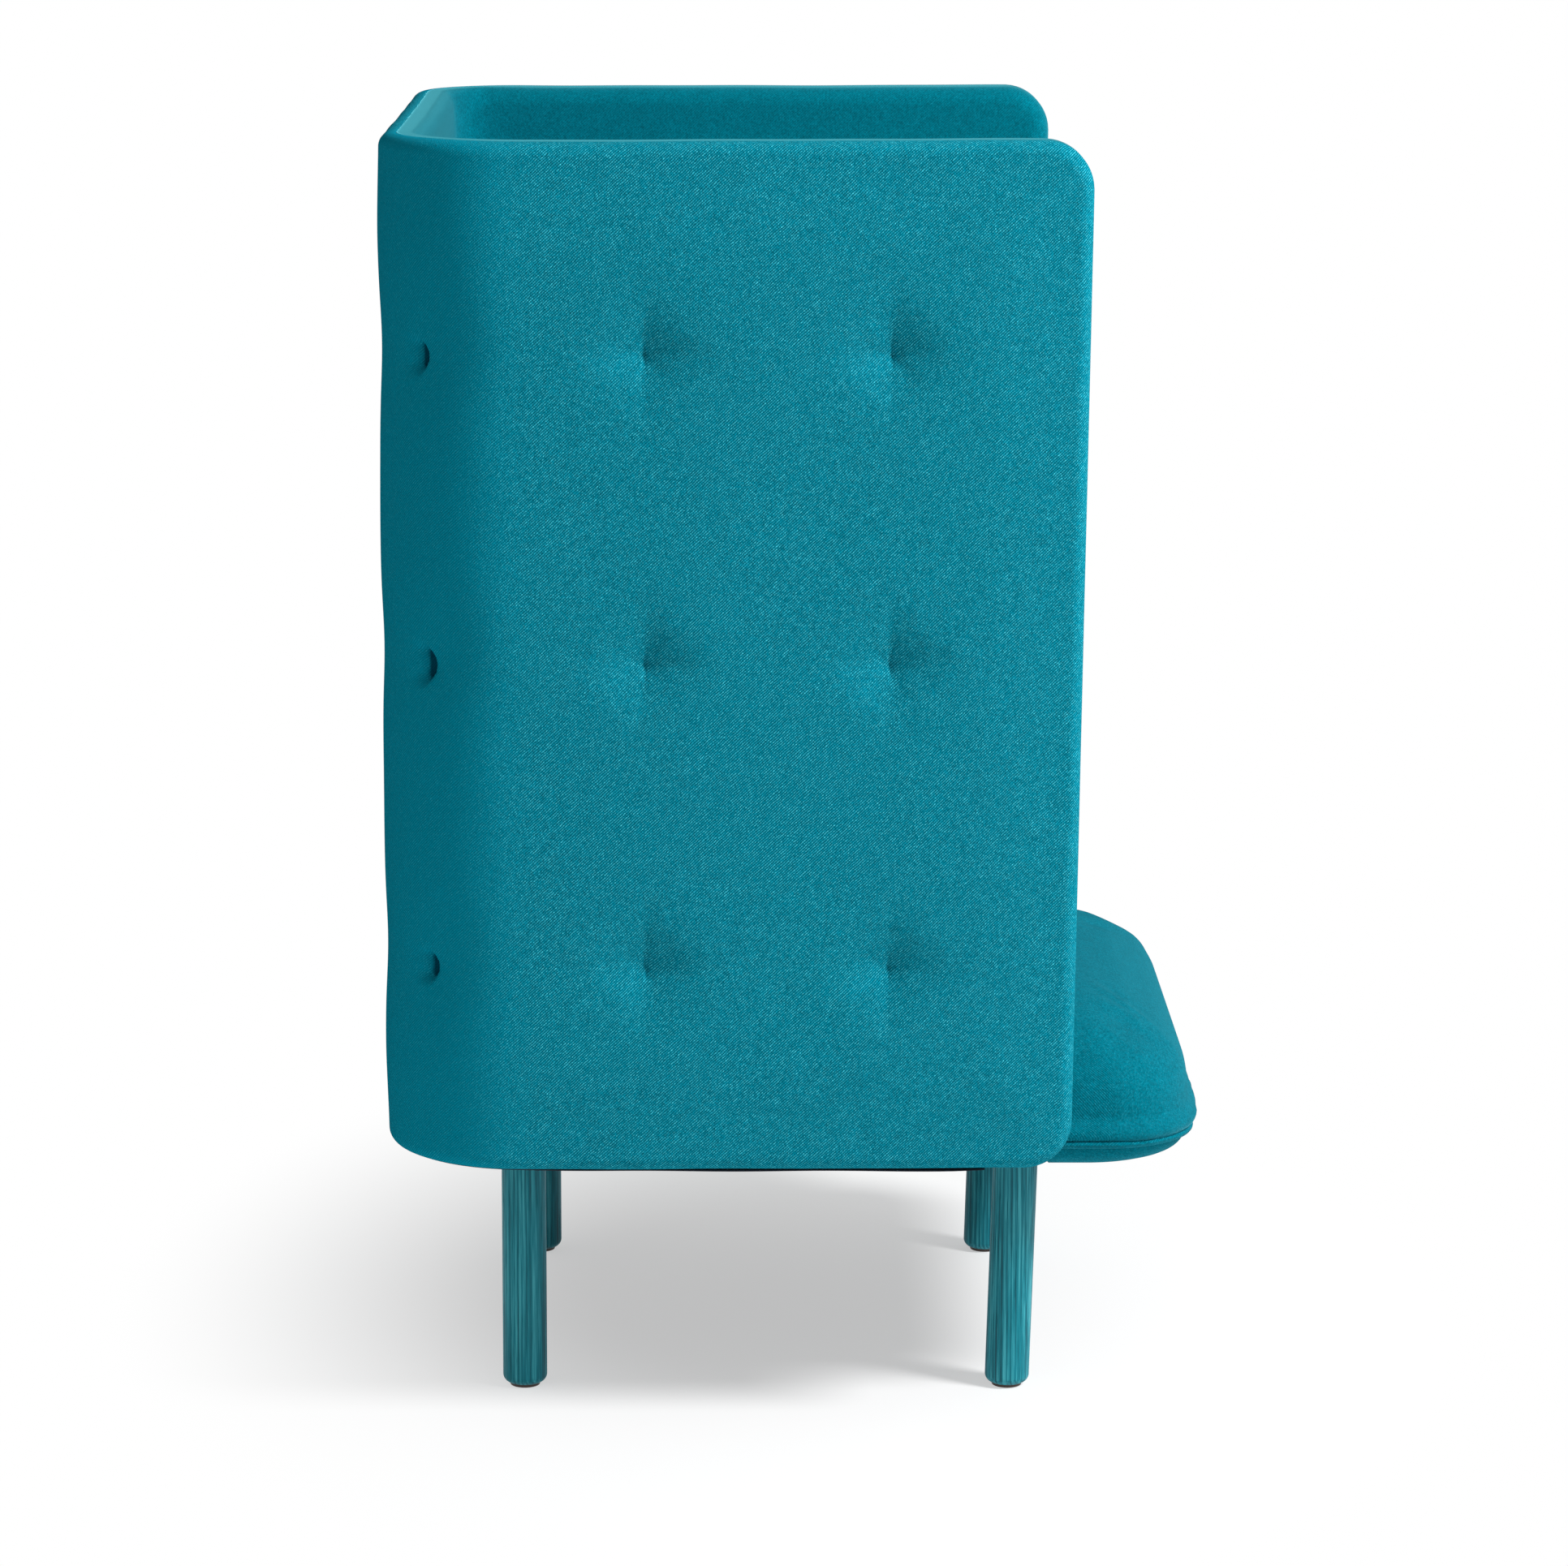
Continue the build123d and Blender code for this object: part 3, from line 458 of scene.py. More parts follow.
def rim_corner(first, second, insets, travel):
    """Distances from the two edges of mesh points in a rounded corner, by their rings' numbers."""
    ring = np.minimum(first, second)
    inset = insets[ring]
    whole = travel[-1]
    on_first = first <= second
    path = np.where(on_first, whole - travel[second], (whole - travel[ring]) + (travel[first] - travel[ring]))
    share = path / np.maximum(2 * (whole - travel[ring]), 1e-9)
    bend = np.maximum(SIDE_R - inset, 0)
    leg = MARGIN - np.maximum(SIDE_R, inset)
    arc = bend * math.pi / 2
    gone = share * (2 * leg + arc)
    turn = np.clip((gone - leg) / np.maximum(bend, 1e-9), 0, math.pi / 2)
    centre = np.maximum(SIDE_R, inset)
    rest = np.maximum(gone - leg - arc, 0)
    left = np.maximum(leg - gone, 0)
    return centre - bend * np.cos(turn) + rest, centre - bend * np.sin(turn) + left


def screen_grid(profile, along, up):
    """Rows of mesh points over the unrolled screen. The profile lists (inset, depth) from the back seam
    to the flat face. Returns the place along, the level, the flat cloth's two places, and the depth."""
    insets = np.array([p[0] for p in profile])
    depths = np.array([p[1] for p in profile])
    travel = np.concatenate([[0], np.cumsum(np.hypot(np.diff(insets), np.diff(depths)))])
    laid = MARGIN - (travel[-1] - travel)
    rings = len(profile)

    def numbers(inner):
        ends = list(range(rings))
        return np.array(ends + [rings - 1] * (len(inner) - 2) + ends[::-1])

    def spread(edges, inner, length):
        return np.concatenate([edges, inner[1:-1], length - edges[::-1]])

    height = TOP - LOW
    first, second = np.meshgrid(numbers(along), numbers(up), indexing="ij")
    results = []
    for edges in (insets, laid):
        place, level = np.meshgrid(spread(edges, along, ROUND), spread(edges, up, height), indexing="ij")
        corner = (first < rings - 1) & (second < rings - 1)
        a, b = rim_corner(first[corner], second[corner], edges, travel)
        far = place[corner] > ROUND / 2
        high = level[corner] > height / 2
        place[corner] = np.where(far, ROUND - a, a)
        level[corner] = np.where(high, height - b, b)
        results += [place, level + LOW]
    place, level, cloth_x, cloth_y = results
    lean = LEAN * (TOP - level) / height
    front = 1 - smooth(place, 0, 0.25)
    rear = 1 - smooth(ROUND - place, 0, 0.25)
    return place + lean * (front - rear), level, cloth_x, cloth_y, depths[np.minimum(first, second)]


def wall_point(place, depth, back_depth=None, square=0.0):
    """x and y of a point of the wall, by its place along the outside and its depth from it.
    Where square is 1 the corners are tighter than an arc, as on the inside."""
    deep = depth if back_depth is None else back_depth
    side_r, back_r = PLAN_R - depth, PLAN_R - deep
    power = 2 + 1.6 * square

    def corner(turn):
        c, s = np.cos(turn), np.sin(turn)
        reach = (np.abs(c / side_r) ** power + np.abs(s / back_r) ** power) ** (-1 / power)
        limit = np.maximum(PLAN_R - LINER_FACE - 0.0015, np.maximum(side_r, back_r))
        reach = np.minimum(reach, limit)
        return reach * c, reach * s

    one, two, three = STRAIGHT, STRAIGHT + ARC, STRAIGHT + ARC + ACROSS
    lc, ls = corner(np.clip((place - one) / PLAN_R, 0, math.pi / 2))
    rs, rc = corner(np.clip(math.pi / 2 - (place - three) / PLAN_R, 0, math.pi / 2))
    inner_x, inner_y = HALF - PLAN_R, BACK - PLAN_R
    conditions = [place < one, place < two, place < three, place < three + ARC]
    x = np.select(conditions, [-HALF + depth, -inner_x - lc, -inner_x + (place - two), inner_x + rs],
                  HALF - depth)
    y = np.select(conditions, [FRONT + place, inner_y + ls, BACK - deep + 0 * place, inner_y + rc],
                  inner_y - (place - three - ARC))
    return x, y


def closed_skin(name, points, cloth, outwards, **marks):
    """A mesh of rows of points whose back is closed from edge to edge, with the cloth's flat map and the
    marks that its material reads."""
    rows, columns = points.shape[:2]
    index = np.arange(rows * columns).reshape(rows, columns)
    a, b, c, d = index[:-1, :-1], index[1:, :-1], index[1:, 1:], index[:-1, 1:]
    quads = np.stack([a, d, c, b] if outwards else [a, b, c, d], axis=-1).reshape(-1, 4)
    back = np.stack([index[:-1, 0], index[1:, 0], index[1:, -1], index[:-1, -1]], axis=-1)
    faces = quads.tolist() + (back if outwards else back[:, ::-1]).tolist()
    start, end = index[0].tolist(), index[-1].tolist()
    faces += [start[::-1], end] if outwards else [start, end[::-1]]
    mesh = bpy.data.meshes.new(name)
    mesh.from_pydata(points.reshape(-1, 3).tolist(), [], faces)
    lay_cloth(mesh, cloth.reshape(-1, 2))
    for label, values in marks.items():
        mark = mesh.attributes.new(label, "FLOAT", "POINT")
        mark.data.foreach_set("value", values.astype(np.float32).ravel())
    shade_smooth(mesh)
    mesh.validate()
    return add_object(name, mesh)


def tuft_columns():
    """(place along the outside, on a corner) of each column of tufts on the left half and the right."""
    left = [(SIDE - TUFT_SIDE_FAR, False), (SIDE - TUFT_SIDE_NEAR, False), (STRAIGHT + ARC / 2, True),
            (ROUND / 2 - TUFT_BACK_X, False)]
    return left + [(ROUND - place, corner) for place, corner in reversed(left)]


def tuft_levels():
    return [LOW + TUFT_EDGE, MIDDLE, TOP - TUFT_EDGE]


def pulled_in(right, up, deepest, number):
    """How far a tuft draws the pad in, by the distance right of it and above it: a blunt cone with
    faint pleats, and a short upright slit with a step beside it at the tie."""
    blunt_right, blunt_up = 0.0015, 0.004      # the flat spot under the tie
    cone_reach, cone_ease = 0.054, 5
    slit_depth, slit_height = 0.0016, 0.0125
    rng = np.random.default_rng(40 + number)
    away = np.hypot(right, up)
    angle = np.arctan2(up, right)
    pleats = 0.0
    for count in (3, 5, 7):
        pleats = pleats + rng.uniform(0.3, 0.6) * np.cos(count * angle + any_turn(rng))
    tilt = rng.uniform(-0.08, 0.03)
    off = right + tilt * up
    out = (np.sqrt(off ** 2 + blunt_right ** 2) ** 1.25 + np.sqrt(up ** 2 + blunt_up ** 2) ** 1.25) ** 0.8
    cone = np.log1p(np.exp(np.clip((1 - out / cone_reach) * cone_ease, -30, 30))) / cone_ease
    shape = 0.79 * deepest * cone * (1 - smooth(away, 0.07, 0.13))
    valley = 0.15 * deepest * np.exp(-away / 0.008)
    folds = 0.0004 * pleats * np.exp(-((away - 0.024) / 0.014) ** 2)
    upright = np.exp(-(up / slit_height) ** 4)
    slit = slit_depth * np.exp(-(off / 0.0018) ** 2) * upright
    step = slit_depth * smooth(off, -0.0010, 0.0010) * np.exp(-np.maximum(off, 0) / 0.009) * upright
    return shape + valley + folds + slit + step


def pulled_in_at_corner(right, up, deepest, number):
    """A corner tuft's pull: a deep upright slit with the cloth pulled smoothly round it. The middle one of
    the three is the tallest and the deepest."""
    height, share = CORNER_SLITS[number % 3]
    deepest = share * deepest
    rng = np.random.default_rng(80 + number)
    away = np.hypot(right, up * 0.75)
    shape = 0.40 * deepest * np.exp(-(away / 0.030) ** 1.2) * (1 - smooth(away, 0.05, 0.11))
    bow = 0.0045 * (up / 0.012) ** 2              # the slit's ends bend to its left
    off = right + bow + rng.uniform(-0.0006, 0.0006)
    side = np.where(off > 0, 0.0018, 0.0140)      # steep on its right, gentle on its left
    slit = 1.3 * deepest * np.exp(-(np.abs(off) / side) ** 1.6) * np.exp(-(up / height) ** 4)
    return shape + slit


def sway(place, level, seed, size):
    """The slight unevenness of a hand-filled pad."""
    rng = np.random.default_rng(seed)
    total = 0.0
    for length in (0.42, 0.27, 0.16, 0.09):
        heading = any_turn(rng)
        phase = any_turn(rng)
        run = place * math.cos(heading) + level * math.sin(heading)
        total = total + length * ripple(run, length, phase)
    return size * total


def all_tufts(place, level, deepest, sign, shifts=(0.0, 0.0, 0.0)):
    """The pull of every tuft at every mesh point. Sign is -1 where right is against the way along.
    The shifts take the slits at the corners towards the chair's sides."""
    pull = np.zeros_like(place)
    number = 0
    for column, corner in tuft_columns():
        for height, shift in zip(tuft_levels(), shifts):
            right = sign * (place - column)
            if corner:
                right = right + sign * shift * (1 if column < ROUND / 2 else -1)
                pull += pulled_in_at_corner(right, level - height + CORNER_TUFT_DROP, deepest, number)
            else:
                pull += pulled_in(right, level - height, deepest, number)
            number += 1
    return pull


RIM_RINGS = (0.0165, 0.020, 0.026, 0.034, 0.044, MARGIN)


def rim_bend(radius, face, inwards):
    """(inset, depth) round a quarter turn from the rim onto the face at that depth."""
    turns = [math.radians(90 * step / 12) for step in range(12, -1, -1)]
    return [(radius * (1 - math.sin(turn)), face + inwards * radius * (1 - math.cos(turn))) for turn in turns]


def outer_profile():
    """(inset, depth) from the back seam, round the rim, to the flat outer face."""
    seam = [(0.003, PAD - 0.00005), (0.0006, PAD - 0.0001), (0.0002, PAD - 0.0003), (0.0, PAD - 0.0008)]
    return seam + rim_bend(OUTER_RIM, 0.0, 1) + [(inset, 0.0) for inset in RIM_RINGS]


def inner_profile():
    """(inset, depth) from the back of the pad, round the rim, to the flat inner face."""
    hidden = [(RIM_PAD - 0.0002, LINER_FACE + 0.0002), (RIM_PAD - 0.0002, PAD + 0.0002), (0.003, PAD + 0.0002)]
    seam = [(0.0006, PAD + 0.0003), (0.0002, PAD + 0.0005), (0.0, PAD + 0.0010)]
    flat = [(0.0, depth) for depth in (0.024, 0.030, 0.036)]
    face = [(inset, WALL) for inset in RIM_RINGS[2:]]
    return hidden + seam + flat + rim_bend(INNER_RIM, WALL, -1) + face


def cover_lines(fine, coarse, near, growth):
    """The places along and up of a cover's mesh lines inside its margin, closest at the tufts."""
    columns = [place for place, _ in tuft_columns()]
    along = graded_lines(MARGIN, ROUND - MARGIN, columns, fine, coarse, near, growth)
    levels = [level - LOW for level in tuft_levels()]
    up = graded_lines(MARGIN, TOP - LOW - MARGIN, levels, fine, coarse, near, growth)
    return along, up


def uneven_rims(place, level):
    """The levels of the points, with the top and bottom rims slightly wavy."""
    return level + sway(place, level * 0 + 0.3, 9, 0.0012) * smooth(np.abs(level - MIDDLE), 0.42, 0.5)


def outer_cover():
    along, up = cover_lines(fine=0.0016, coarse=0.009, near=0.010, growth=0.12)
    place, level, cloth_x, cloth_y, depth = screen_grid(outer_profile(), along, up)
    from_front = np.minimum(place, ROUND - place)
    inside = np.minimum(from_front, np.minimum(level - LOW, TOP - level))
    behind = smooth(from_front, STRAIGHT - 0.03, STRAIGHT + 0.1)
    row_reach = 0.055
    rows = sum(np.exp(-((level - height) / row_reach) ** 2) for height in tuft_levels())
    puff = PUFF * smooth(inside, 0.0, 0.11) * (1 - behind * (0.5 + 0.6 * rows))
    pull = all_tufts(place, level, TUFT_PULL, -1, CORNER_TUFT_SHIFTS) * smooth(inside, 0.004, 0.05)
    room, most_room = OUTER_ROOM + puff, OUTER_ROOM + PUFF
    # Painted shade in the deepest tuft folds, more of it towards the back, where the tufts lie in shade.
    crease = smooth(pull / most_room + 0.17 * behind, 0.87, 1.0)
    pull = np.minimum(pull * np.sqrt(room / most_room), room)
    soft = sway(place, level, 5, 0.0011)
    x, y = wall_point(place, depth + pull - puff + (0.0006 + soft) * (depth < PAD - 0.002))
    points = np.stack([x, y, uneven_rims(place, level)], axis=-1)
    # Painted shade: round the rear corners the twill's light flecks give way to a flat colour, as the weave
    # looks in shade.
    drawn = smooth(from_front, STRAIGHT - 0.035, STRAIGHT + 0.06) * (
        1 - smooth(from_front, STRAIGHT + ARC - 0.07, STRAIGHT + ARC + 0.10))
    return closed_skin("screen_outer_cover", points, np.stack([-cloth_x, cloth_y], axis=-1), True,
                       crease=crease, drawn=drawn)


def inner_cover():
    along, up = cover_lines(fine=0.0024, coarse=0.012, near=0.009, growth=0.14)
    place, level, cloth_x, cloth_y, depth = screen_grid(inner_profile(), along, up)
    inside = np.minimum(np.minimum(place, ROUND - place), np.minimum(level - LOW, TOP - level))
    turned = smooth(depth, PAD + 0.002, WALL)
    puff = INNER_PUFF * smooth(inside, 0.01, 0.12) * turned
    pull = all_tufts(place, level, TUFT_PULL, 1) * smooth(inside, 0.012, 0.06) * turned
    room = INNER_ROOM + puff
    # Painted shade in the deepest tuft folds.
    crease = smooth(pull / room, 0.88, 1.05)
    pull = np.minimum(pull, room) - puff
    soft = sway(place, level, 15, 0.0011) * turned
    thin = 1 - INNER_THINNING * smooth(level, 1.02, 1.25)
    back_depth = PAD + (depth - PAD) * np.where(depth > PAD + 0.001, thin, 1.0)
    x, y = wall_point(place, depth - pull + soft, back_depth - pull + soft, turned)
    points = np.stack([x, y, uneven_rims(place, level)], axis=-1)
    return closed_skin("screen_inner_cover", points, np.stack([cloth_x, cloth_y], axis=-1), False,
                       crease=crease)


def finish_piece(piece, material, slot, *nodes):
    piece.data.materials.clear()
    piece.data.materials.append(material)
    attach(piece, "root")
    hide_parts(*nodes)


# ---- The seat ----

def seat_outline(inset, count=16):
    """Points round the seat seen from above, drawn in by an inset. Count sets how close they lie."""
    half = SEAT_X - inset
    front = SEAT_FRONT + inset
    rear = SEAT_REAR - inset
    fr = min(SEAT_FRONT_R, 0.8 * half)
    rr = min(SEAT_REAR_R, 0.7 * half)
    points = []

    def line(start, end, steps):
        for step in range(steps):
            t = step / steps
            points.append((start[0] + (end[0] - start[0]) * t, start[1] + (end[1] - start[1]) * t))

    def arc(centre, radius, first, steps):
        for step in range(steps):
            turn = math.radians(first + 90 * step / steps)
            points.append((centre[0] + radius * math.cos(turn), centre[1] + radius * math.sin(turn)))

    line((-half + fr, front), (half - fr, front), 5 * count)
    arc((half - fr, front + fr), fr, -90, 2 * count)
    line((half, front + fr), (half, rear - rr), 5 * count)
    arc((half - rr, rear - rr), rr, 0, count)
    line((half - rr, rear), (-half + rr, rear), 5 * count)
    arc((-half + rr, rear - rr), rr, 90, count)
    line((-half, rear - rr), (-half, front + fr), 5 * count)
    arc((-half + fr, front + fr), fr, 180, 2 * count)
    return np.array(points)


def ringed_mesh(name, rings, closed_section=False):
    """A mesh through rings of points, all with the same count and all going the same way round. Its
    last ring joins its first one, or the first and the last are closed."""
    rows, columns = len(rings), len(rings[0])
    index = np.arange(rows * columns).reshape(rows, columns)
    ahead = np.roll(index, -1, axis=1)
    faces = np.stack([index[:-1], ahead[:-1], ahead[1:], index[1:]], axis=-1).reshape(-1, 4).tolist()
    if closed_section:
        faces += np.stack([index[-1], ahead[-1], ahead[0], index[0]], axis=-1).tolist()
    else:
        faces += [index[0].tolist()[::-1], index[-1].tolist()]
    mesh = bpy.data.meshes.new(name)
    mesh.from_pydata(np.array(rings).reshape(-1, 3).tolist(), [], faces)
    shade_smooth(mesh)
    return add_object(name, mesh)


def cushion_start():
    """The cushion before it is filled, a little smaller than its space so that it can swell."""
    slack, swelling = 0.002, 0.012
    rise = CUSHION_HIGH.z - swelling - SEAT_START
    rings = []
    for n in range(60):
        share = min(1 - (1 - n / 60) ** 1.6, 0.9995)
        crown = (1 - (1 - share ** 4.5) ** 0.5) * (SEAT_X - slack)
        neck = 0.0035 * max(0.0, 1 - share / 0.05) ** 2
        outline = seat_outline(crown + neck + slack)
        level = np.full((len(outline), 1), SEAT_START + share * rise)
        rings.append(np.hstack([outline, level]))
    floor_ring = rings[0].copy()
    floor_ring[:, 2] = WELT_Z + 0.001
    return ringed_mesh("seat_cushion", [floor_ring] + rings)


def remesh(piece, voxel):
    modifier = piece.modifiers.new("remesh", "REMESH")
    modifier.mode = "VOXEL"
    modifier.voxel_size = voxel
    modifier.use_smooth_shade = True
    apply_modifier(piece, modifier)


def fill_with_air(piece, pressure, cap, held_below):
    """Cloth pressed out from inside, held at its lower seam, with a limit on how far it moves."""
    frames = 20
    before = positions(piece.data)
    group = piece.vertex_groups.new(name="sewn")
    for number in np.nonzero(before[:, 2] < held_below)[0].tolist():
        group.add([number], 1.0, "REPLACE")
    cloth = piece.modifiers.new("cloth", "CLOTH")
    cloth.settings.use_pressure = True
    cloth.settings.uniform_pressure_force = pressure
    cloth.settings.effector_weights.gravity = 0
    cloth.settings.vertex_group_mass = group.name
    cloth.settings.tension_stiffness = 25
    cloth.settings.compression_stiffness = 25
    cloth.settings.quality = 4
    cloth.point_cache.frame_start = 1
    cloth.point_cache.frame_end = frames
    for number in range(1, frames + 1):
        bpy.context.scene.frame_set(number)
    apply_modifier(piece, cloth)
    moved = positions(piece.data) - before
    length = np.linalg.norm(moved, axis=1, keepdims=True)
    limited = moved * np.minimum(1, cap / np.maximum(length, 1e-9))
    set_positions(piece.data, before + limited)
    piece.vertex_groups.clear()
    bpy.context.scene.frame_set(1)


def subdivide_once(piece):
    modifier = piece.modifiers.new("soften", "SUBSURF")
    modifier.levels = 1
    modifier.render_levels = 1
    apply_modifier(piece, modifier)


def round_the_seat(points):
    """About how far round the seat each point lies from the middle of the front."""
    mean_radius = 0.42
    return np.arctan2(points[:, 0], -(points[:, 1] - SEAT_MIDDLE)) * mean_radius


def cloth_over_cushion(points):
    """The cloth's flat map on the cushion: the top from above, the sides let down round it."""
    edge_x = np.clip(points[:, 0], -SEAT_X + 0.09, SEAT_X - 0.09)
    edge_y = np.clip(points[:, 1], SEAT_FRONT + 0.09, SEAT_REAR - 0.07)
    out = np.stack([points[:, 0] - edge_x, points[:, 1] - edge_y], axis=-1)
    away = np.linalg.norm(out, axis=1, keepdims=True)
    drop = (CUSHION_HIGH.z - points[:, 2])[:, None]
    return points[:, :2] + out / np.maximum(away, 1e-6) * drop * smooth(away, 0.0, 0.03) * 0.9


def inside_seat(points):
    """How far each point lies inside the seat's outline, and the way out from it."""
    place = np.stack([points[:, 0], points[:, 1] - SEAT_MIDDLE], axis=-1)
    side = np.where(place > 0, 1.0, -1.0)
    half = np.array([SEAT_X, (SEAT_REAR - SEAT_FRONT) / 2])
    radius = np.where(place[:, 1] < 0, SEAT_FRONT_R, SEAT_REAR_R)[:, None]
    past = np.abs(place) - (half - radius)
    corner = np.all(past > 0, axis=1)
    reach = np.maximum(past, 0)
    length = np.linalg.norm(reach, axis=1)
    inset = radius[:, 0] - np.where(corner, length, past.max(axis=1))
    straight = np.eye(2)[past.argmax(axis=1)]
    out = np.where(corner[:, None], reach / np.maximum(length, 1e-9)[:, None], straight) * side
    return inset, out


# (height above the cushion's seam, how far the wall lies inside the seat's outline there)
SEAM_TUCK = ((-0.006, 0.0088), (-0.003, 0.0078), (0.0, 0.0036), (0.003, 0.0006), (0.008, -0.0004),
             (0.014, -0.0006))


def tuck_under(points):
    """Brings the cushion's wall near its seam to the welt's edge, then in behind the welt. Returns the
    points and the way out from each."""
    inset, out = inside_seat(points)
    above = points[:, 2] - SEAT_START
    wanted = np.interp(above, *zip(*SEAM_TUCK))
    share = (1 - smooth(above, 0.008, 0.022)) * (inset < 0.030)
    points[:, :2] -= out * ((wanted - inset) * share)[:, None]
    return points, out


def seat_cushion():
    piece = cushion_start()
    remesh(piece, voxel=0.008)
    fill_with_air(piece, pressure=4.0, cap=0.007, held_below=SEAT_START + 0.002)
    subdivide_once(piece)
    points, out = tuck_under(positions(piece.data))
    along = round_the_seat(points)
    rng = np.random.default_rng(7)
    gather = 0.0
    for length in (0.031, 0.047, 0.083):
        gather = gather + rng.uniform(0.5, 1.0) * ripple(along, length, any_turn(rng))
    near_seam = np.exp(-((points[:, 2] - SEAT_START - 0.005) / 0.010) ** 2)
    points[:, :2] += out * (GATHER * gather * near_seam)[:, None]
    points[:, 0] = np.clip(points[:, 0], -SEAT_X, SEAT_X)
    points[:, 2] = np.minimum(points[:, 2], CUSHION_HIGH.z + CROWN_OVER)
    full = smooth(SEAT_X - np.abs(points[:, 0]), 0.05, 0.16) * smooth(points[:, 2] - SEAT_START, 0.0, 0.01)
    points[:, 1] -= SEAT_BULGE * full * smooth(-points[:, 1], -SEAT_REAR, -SEAT_FRONT)
    set_positions(piece.data, points)
    lay_cloth(piece.data, cloth_over_cushion(positions(piece.data)))
    return piece


def length_gone(path):
    return np.concatenate([[0], np.cumsum(np.linalg.norm(np.diff(path, axis=0), axis=1))])


def flat_map(piece, gone, step):
    """The cloth's flat map on a strip of rings: length along one way, ring by ring the other."""
    index = np.arange(len(piece.data.vertices))
    columns = len(gone)
    lay_cloth(piece.data, np.stack([gone[index % columns], (index // columns) * step], axis=-1))


def seat_welt():
    """Piping round the seat: cloth over a cord, slightly uneven."""
    path = seat_outline(WELT_R + 0.0015, 20)
    ahead = np.roll(path, -1, axis=0) - np.roll(path, 1, axis=0)
    ahead /= np.linalg.norm(ahead, axis=1, keepdims=True)
    out = np.stack([ahead[:, 1], -ahead[:, 0]], axis=-1)
    gone = length_gone(path)
    girth = WELT_R * (1 + 0.035 * np.cos(gone / 0.012) * np.cos(gone / 0.05))
    rings = []
    sides = 14
    for n in range(sides):
        turn = 2 * math.pi * n / sides
        flat = path + out * (girth * math.cos(turn))[:, None]
        level = WELT_Z + girth * math.sin(turn)
        rings.append(np.hstack([flat, level[:, None]]))
    piece = ringed_mesh("seat_welt_piping", rings, closed_section=True)
    flat_map(piece, gone, 2 * math.pi * WELT_R / sides)
    return piece


def seat_band():
    """The padded band that turns in under the welt and is trimmed level inside the screen."""
    drop = WELT_Z - BAND_LOW.z + BAND_SAG
    frame_inset = 0.0445      # the seat frame's outer face
    lowest = LOW + 0.0005 - WELT_Z
    section = []
    for n in range(13):
        share = n / 12
        section.append((SEAT_JOIN + BAND_TUCK * (1 - (1 - share ** 2.3) ** 0.44), -share * drop))
    section += [(0.052, -drop), (0.060, -drop), (0.062, -drop + 0.003)]
    section += [(0.062, -0.0098), (frame_inset, -0.0095), (frame_inset, -0.001), (0.030, 0.0), (0.016, 0.0)]
    rings = []
    for inset, height in section:
        outline = seat_outline(inset, 20)
        behind = smooth(outline[:, 1], FRONT + 0.030, FRONT + 0.045)
        level = np.where(height < lowest, height + (lowest - height) * behind, height)
        rings.append(np.hstack([outline, (WELT_Z + level)[:, None]]))
    piece = ringed_mesh("seat_band_padded", rings[::-1], closed_section=True)
    flat_map(piece, length_gone(seat_outline(SEAT_JOIN, 20)), 0.004)
    return piece


# ---- Dust cover ----

def dust_sheet():
    """Thin cloth stapled under the seat frame and the screen's lower rim, sagging a little between."""
    join, spacing = 0.00001, 0.014
    rail_x, rail_y = 0.29, -0.37
    mesh = NODES["dust_cover"].data.copy()
    mesh.name = "dust_cover_sheet"
    work = bmesh.new()
    work.from_mesh(mesh)
    bmesh.ops.remove_doubles(work, verts=work.verts, dist=join)
    for normal, low, high in (((1, 0, 0), DUST_LOW.x, DUST_HIGH.x), ((0, 1, 0), DUST_LOW.y, DUST_HIGH.y)):
        for place in np.arange(low + 0.012, high, spacing).tolist():
            everything = work.verts[:] + work.edges[:] + work.faces[:]
            bmesh.ops.bisect_plane(work, geom=everything, dist=join, plane_co=Vector(normal) * place,
                                   plane_no=normal)
    work.to_mesh(mesh)
    work.free()
    points = positions(mesh)
    x, y = points[:, 0], points[:, 1]
    loose = smooth(np.minimum(np.abs(np.abs(x) - rail_x), np.abs(y - rail_y)), 0.0, 0.05)
    waves = 0.5 + 0.5 * ripple(y, 0.19, 1.1) * ripple(x, 0.3)
    sag = 0.0007 + 0.0024 * loose * waves + 0.0010 * smooth(np.abs(x), 0.34, 0.39)
    points[:, 2] -= sag * smooth(BACK - y, 0.03, 0.25) * smooth(y - FRONT, 0.04, 0.14)
    set_positions(mesh, points)
    shade_smooth(mesh)
    lay_cloth(mesh, points[:, :2])
    return add_object("dust_cover_sheet", mesh)


# ---- Studio ----

def seen_rays(tree):
    """1 for the rays that show the studio itself: straight, mirrored and through glass."""
    path = put(tree, "ShaderNodeLightPath").outputs
    return maths(tree, "MAXIMUM", path["Is Camera Ray"],
                 maths(tree, "MAXIMUM", path["Is Glossy Ray"], path["Is Transmission Ray"]))


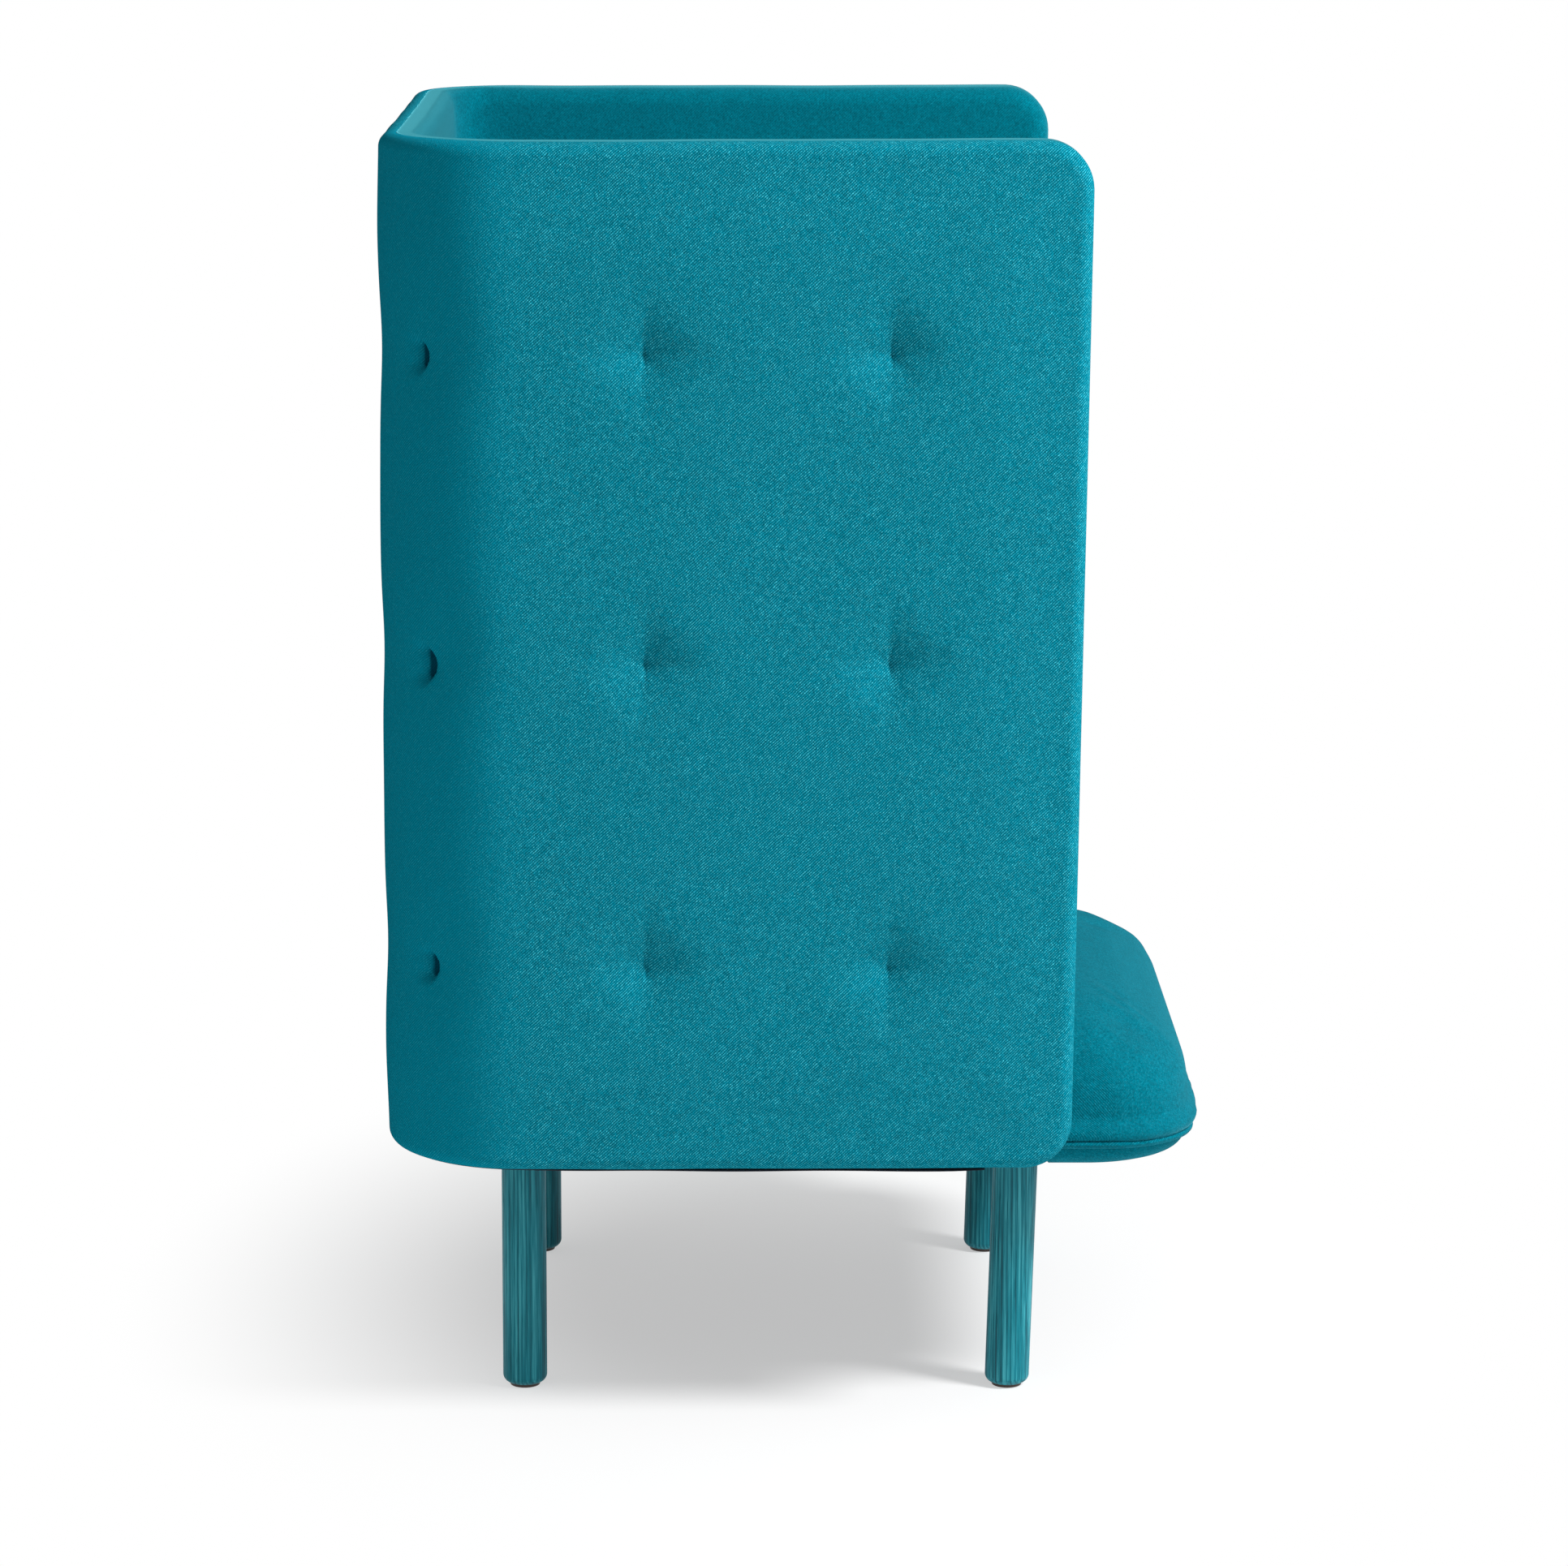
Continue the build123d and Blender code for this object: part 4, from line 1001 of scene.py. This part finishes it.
def floor():
    """A pale floor that keeps the chair's shadow and turns to plain white away from it."""
    deselect()
    bpy.ops.mesh.primitive_grid_add(x_subdivisions=12, y_subdivisions=12, size=40, location=(0, 0, 0))
    piece = bpy.context.active_object
    piece.name = "studio_floor"
    material, tree, shader = new_material("pale_floor", Roughness=0.95, Specular_IOR_Level=0.0)
    shader.inputs["Base Color"].default_value = (0.9, 0.9, 0.9, 1)
    oval = put(tree, "ShaderNodeMapping", {"Vector": object_place(tree), "Location": (-0.07, 0.0, 0.0),
                                           "Scale": (0.7, 1.0, 1.0)}).outputs[0]
    away = put(tree, "ShaderNodeVectorMath", {0: oval}, operation="LENGTH").outputs["Value"]
    far = ranged(tree, away, 0.2, 0.76, 0.46, 1.0, how="SMOOTHSTEP")
    white = put(tree, "ShaderNodeEmission", {"Color": (1, 1, 1, 1), "Strength": 1.0}).outputs[0]
    mixed = put(tree, "ShaderNodeMixShader", {0: times(tree, far, seen_rays(tree)), 1: shader.outputs[0],
                                              2: white})
    tree.links.new(mixed.outputs[0], tree.nodes["Material Output"].inputs["Surface"])
    piece.data.materials.append(material)


def world():
    """White where it is seen, and a dim even light on the chair."""
    space = bpy.data.worlds.new("white_studio")
    bpy.context.scene.world = space
    space.use_nodes = True
    tree = space.node_tree
    fill_light = 0.38
    strength = ranged(tree, seen_rays(tree), 0.0, 1.0, fill_light, 1.0)
    shade = tree.nodes["Background"]
    shade.inputs["Color"].default_value = (1, 1, 1, 1)
    tree.links.new(strength, shade.inputs["Strength"])


def lamp(name, place, aim, size, power):
    light = bpy.data.lights.new(name, "AREA")
    light.shape = "DISK"
    light.size = size
    light.energy = power
    holder = add_object(name, light)
    holder.location = place
    holder.rotation_euler = (Vector(aim) - Vector(place)).to_track_quat("-Z", "Y").to_euler()


def camera():
    view = bpy.data.cameras.new("photograph_view")
    view.lens = 123.06
    view.sensor_width = 36.0
    view.shift_x = 0.0381
    view.shift_y = -0.06
    view.clip_end = 100.0
    holder = add_object("photograph_view", view)
    holder.location = (-5.6314, 0.0710, 1.7251)
    holder.rotation_euler = (math.radians(79.61), 0.0, math.radians(-90.0))
    bpy.context.scene.camera = holder


def build():
    bpy.context.scene.view_settings.view_transform = "Standard"
    camera()
    dress_nodes()
    outer = outer_cover()
    inner = inner_cover()
    cushion = seat_cushion()
    welt = seat_welt()
    band = seat_band()
    dust = dust_sheet()
    finish_piece(outer, CLOTH, "teal_cloth", "outer_cover", "outer_foam")
    finish_piece(inner, INNER_CLOTH_SHADED, "teal_cloth", "inner_cover", "inner_foam")
    finish_piece(cushion, SEAT_CLOTH_SHADED, "teal_cloth", "seat_cover", "seat_foam")
    finish_piece(welt, SEAT_CLOTH_SHADED, "teal_cloth", "seat_welt")
    finish_piece(band, SEAT_CLOTH_SHADED, "teal_cloth", "seat_band")
    finish_piece(dust, DUST, "dust_cloth", "dust_cover")
    floor()
    world()
    lamp("key_softbox", place=(-1.82, -3.2, 3.8), aim=(-0.3, 0, 0.8), size=1.3, power=305.0)


build()
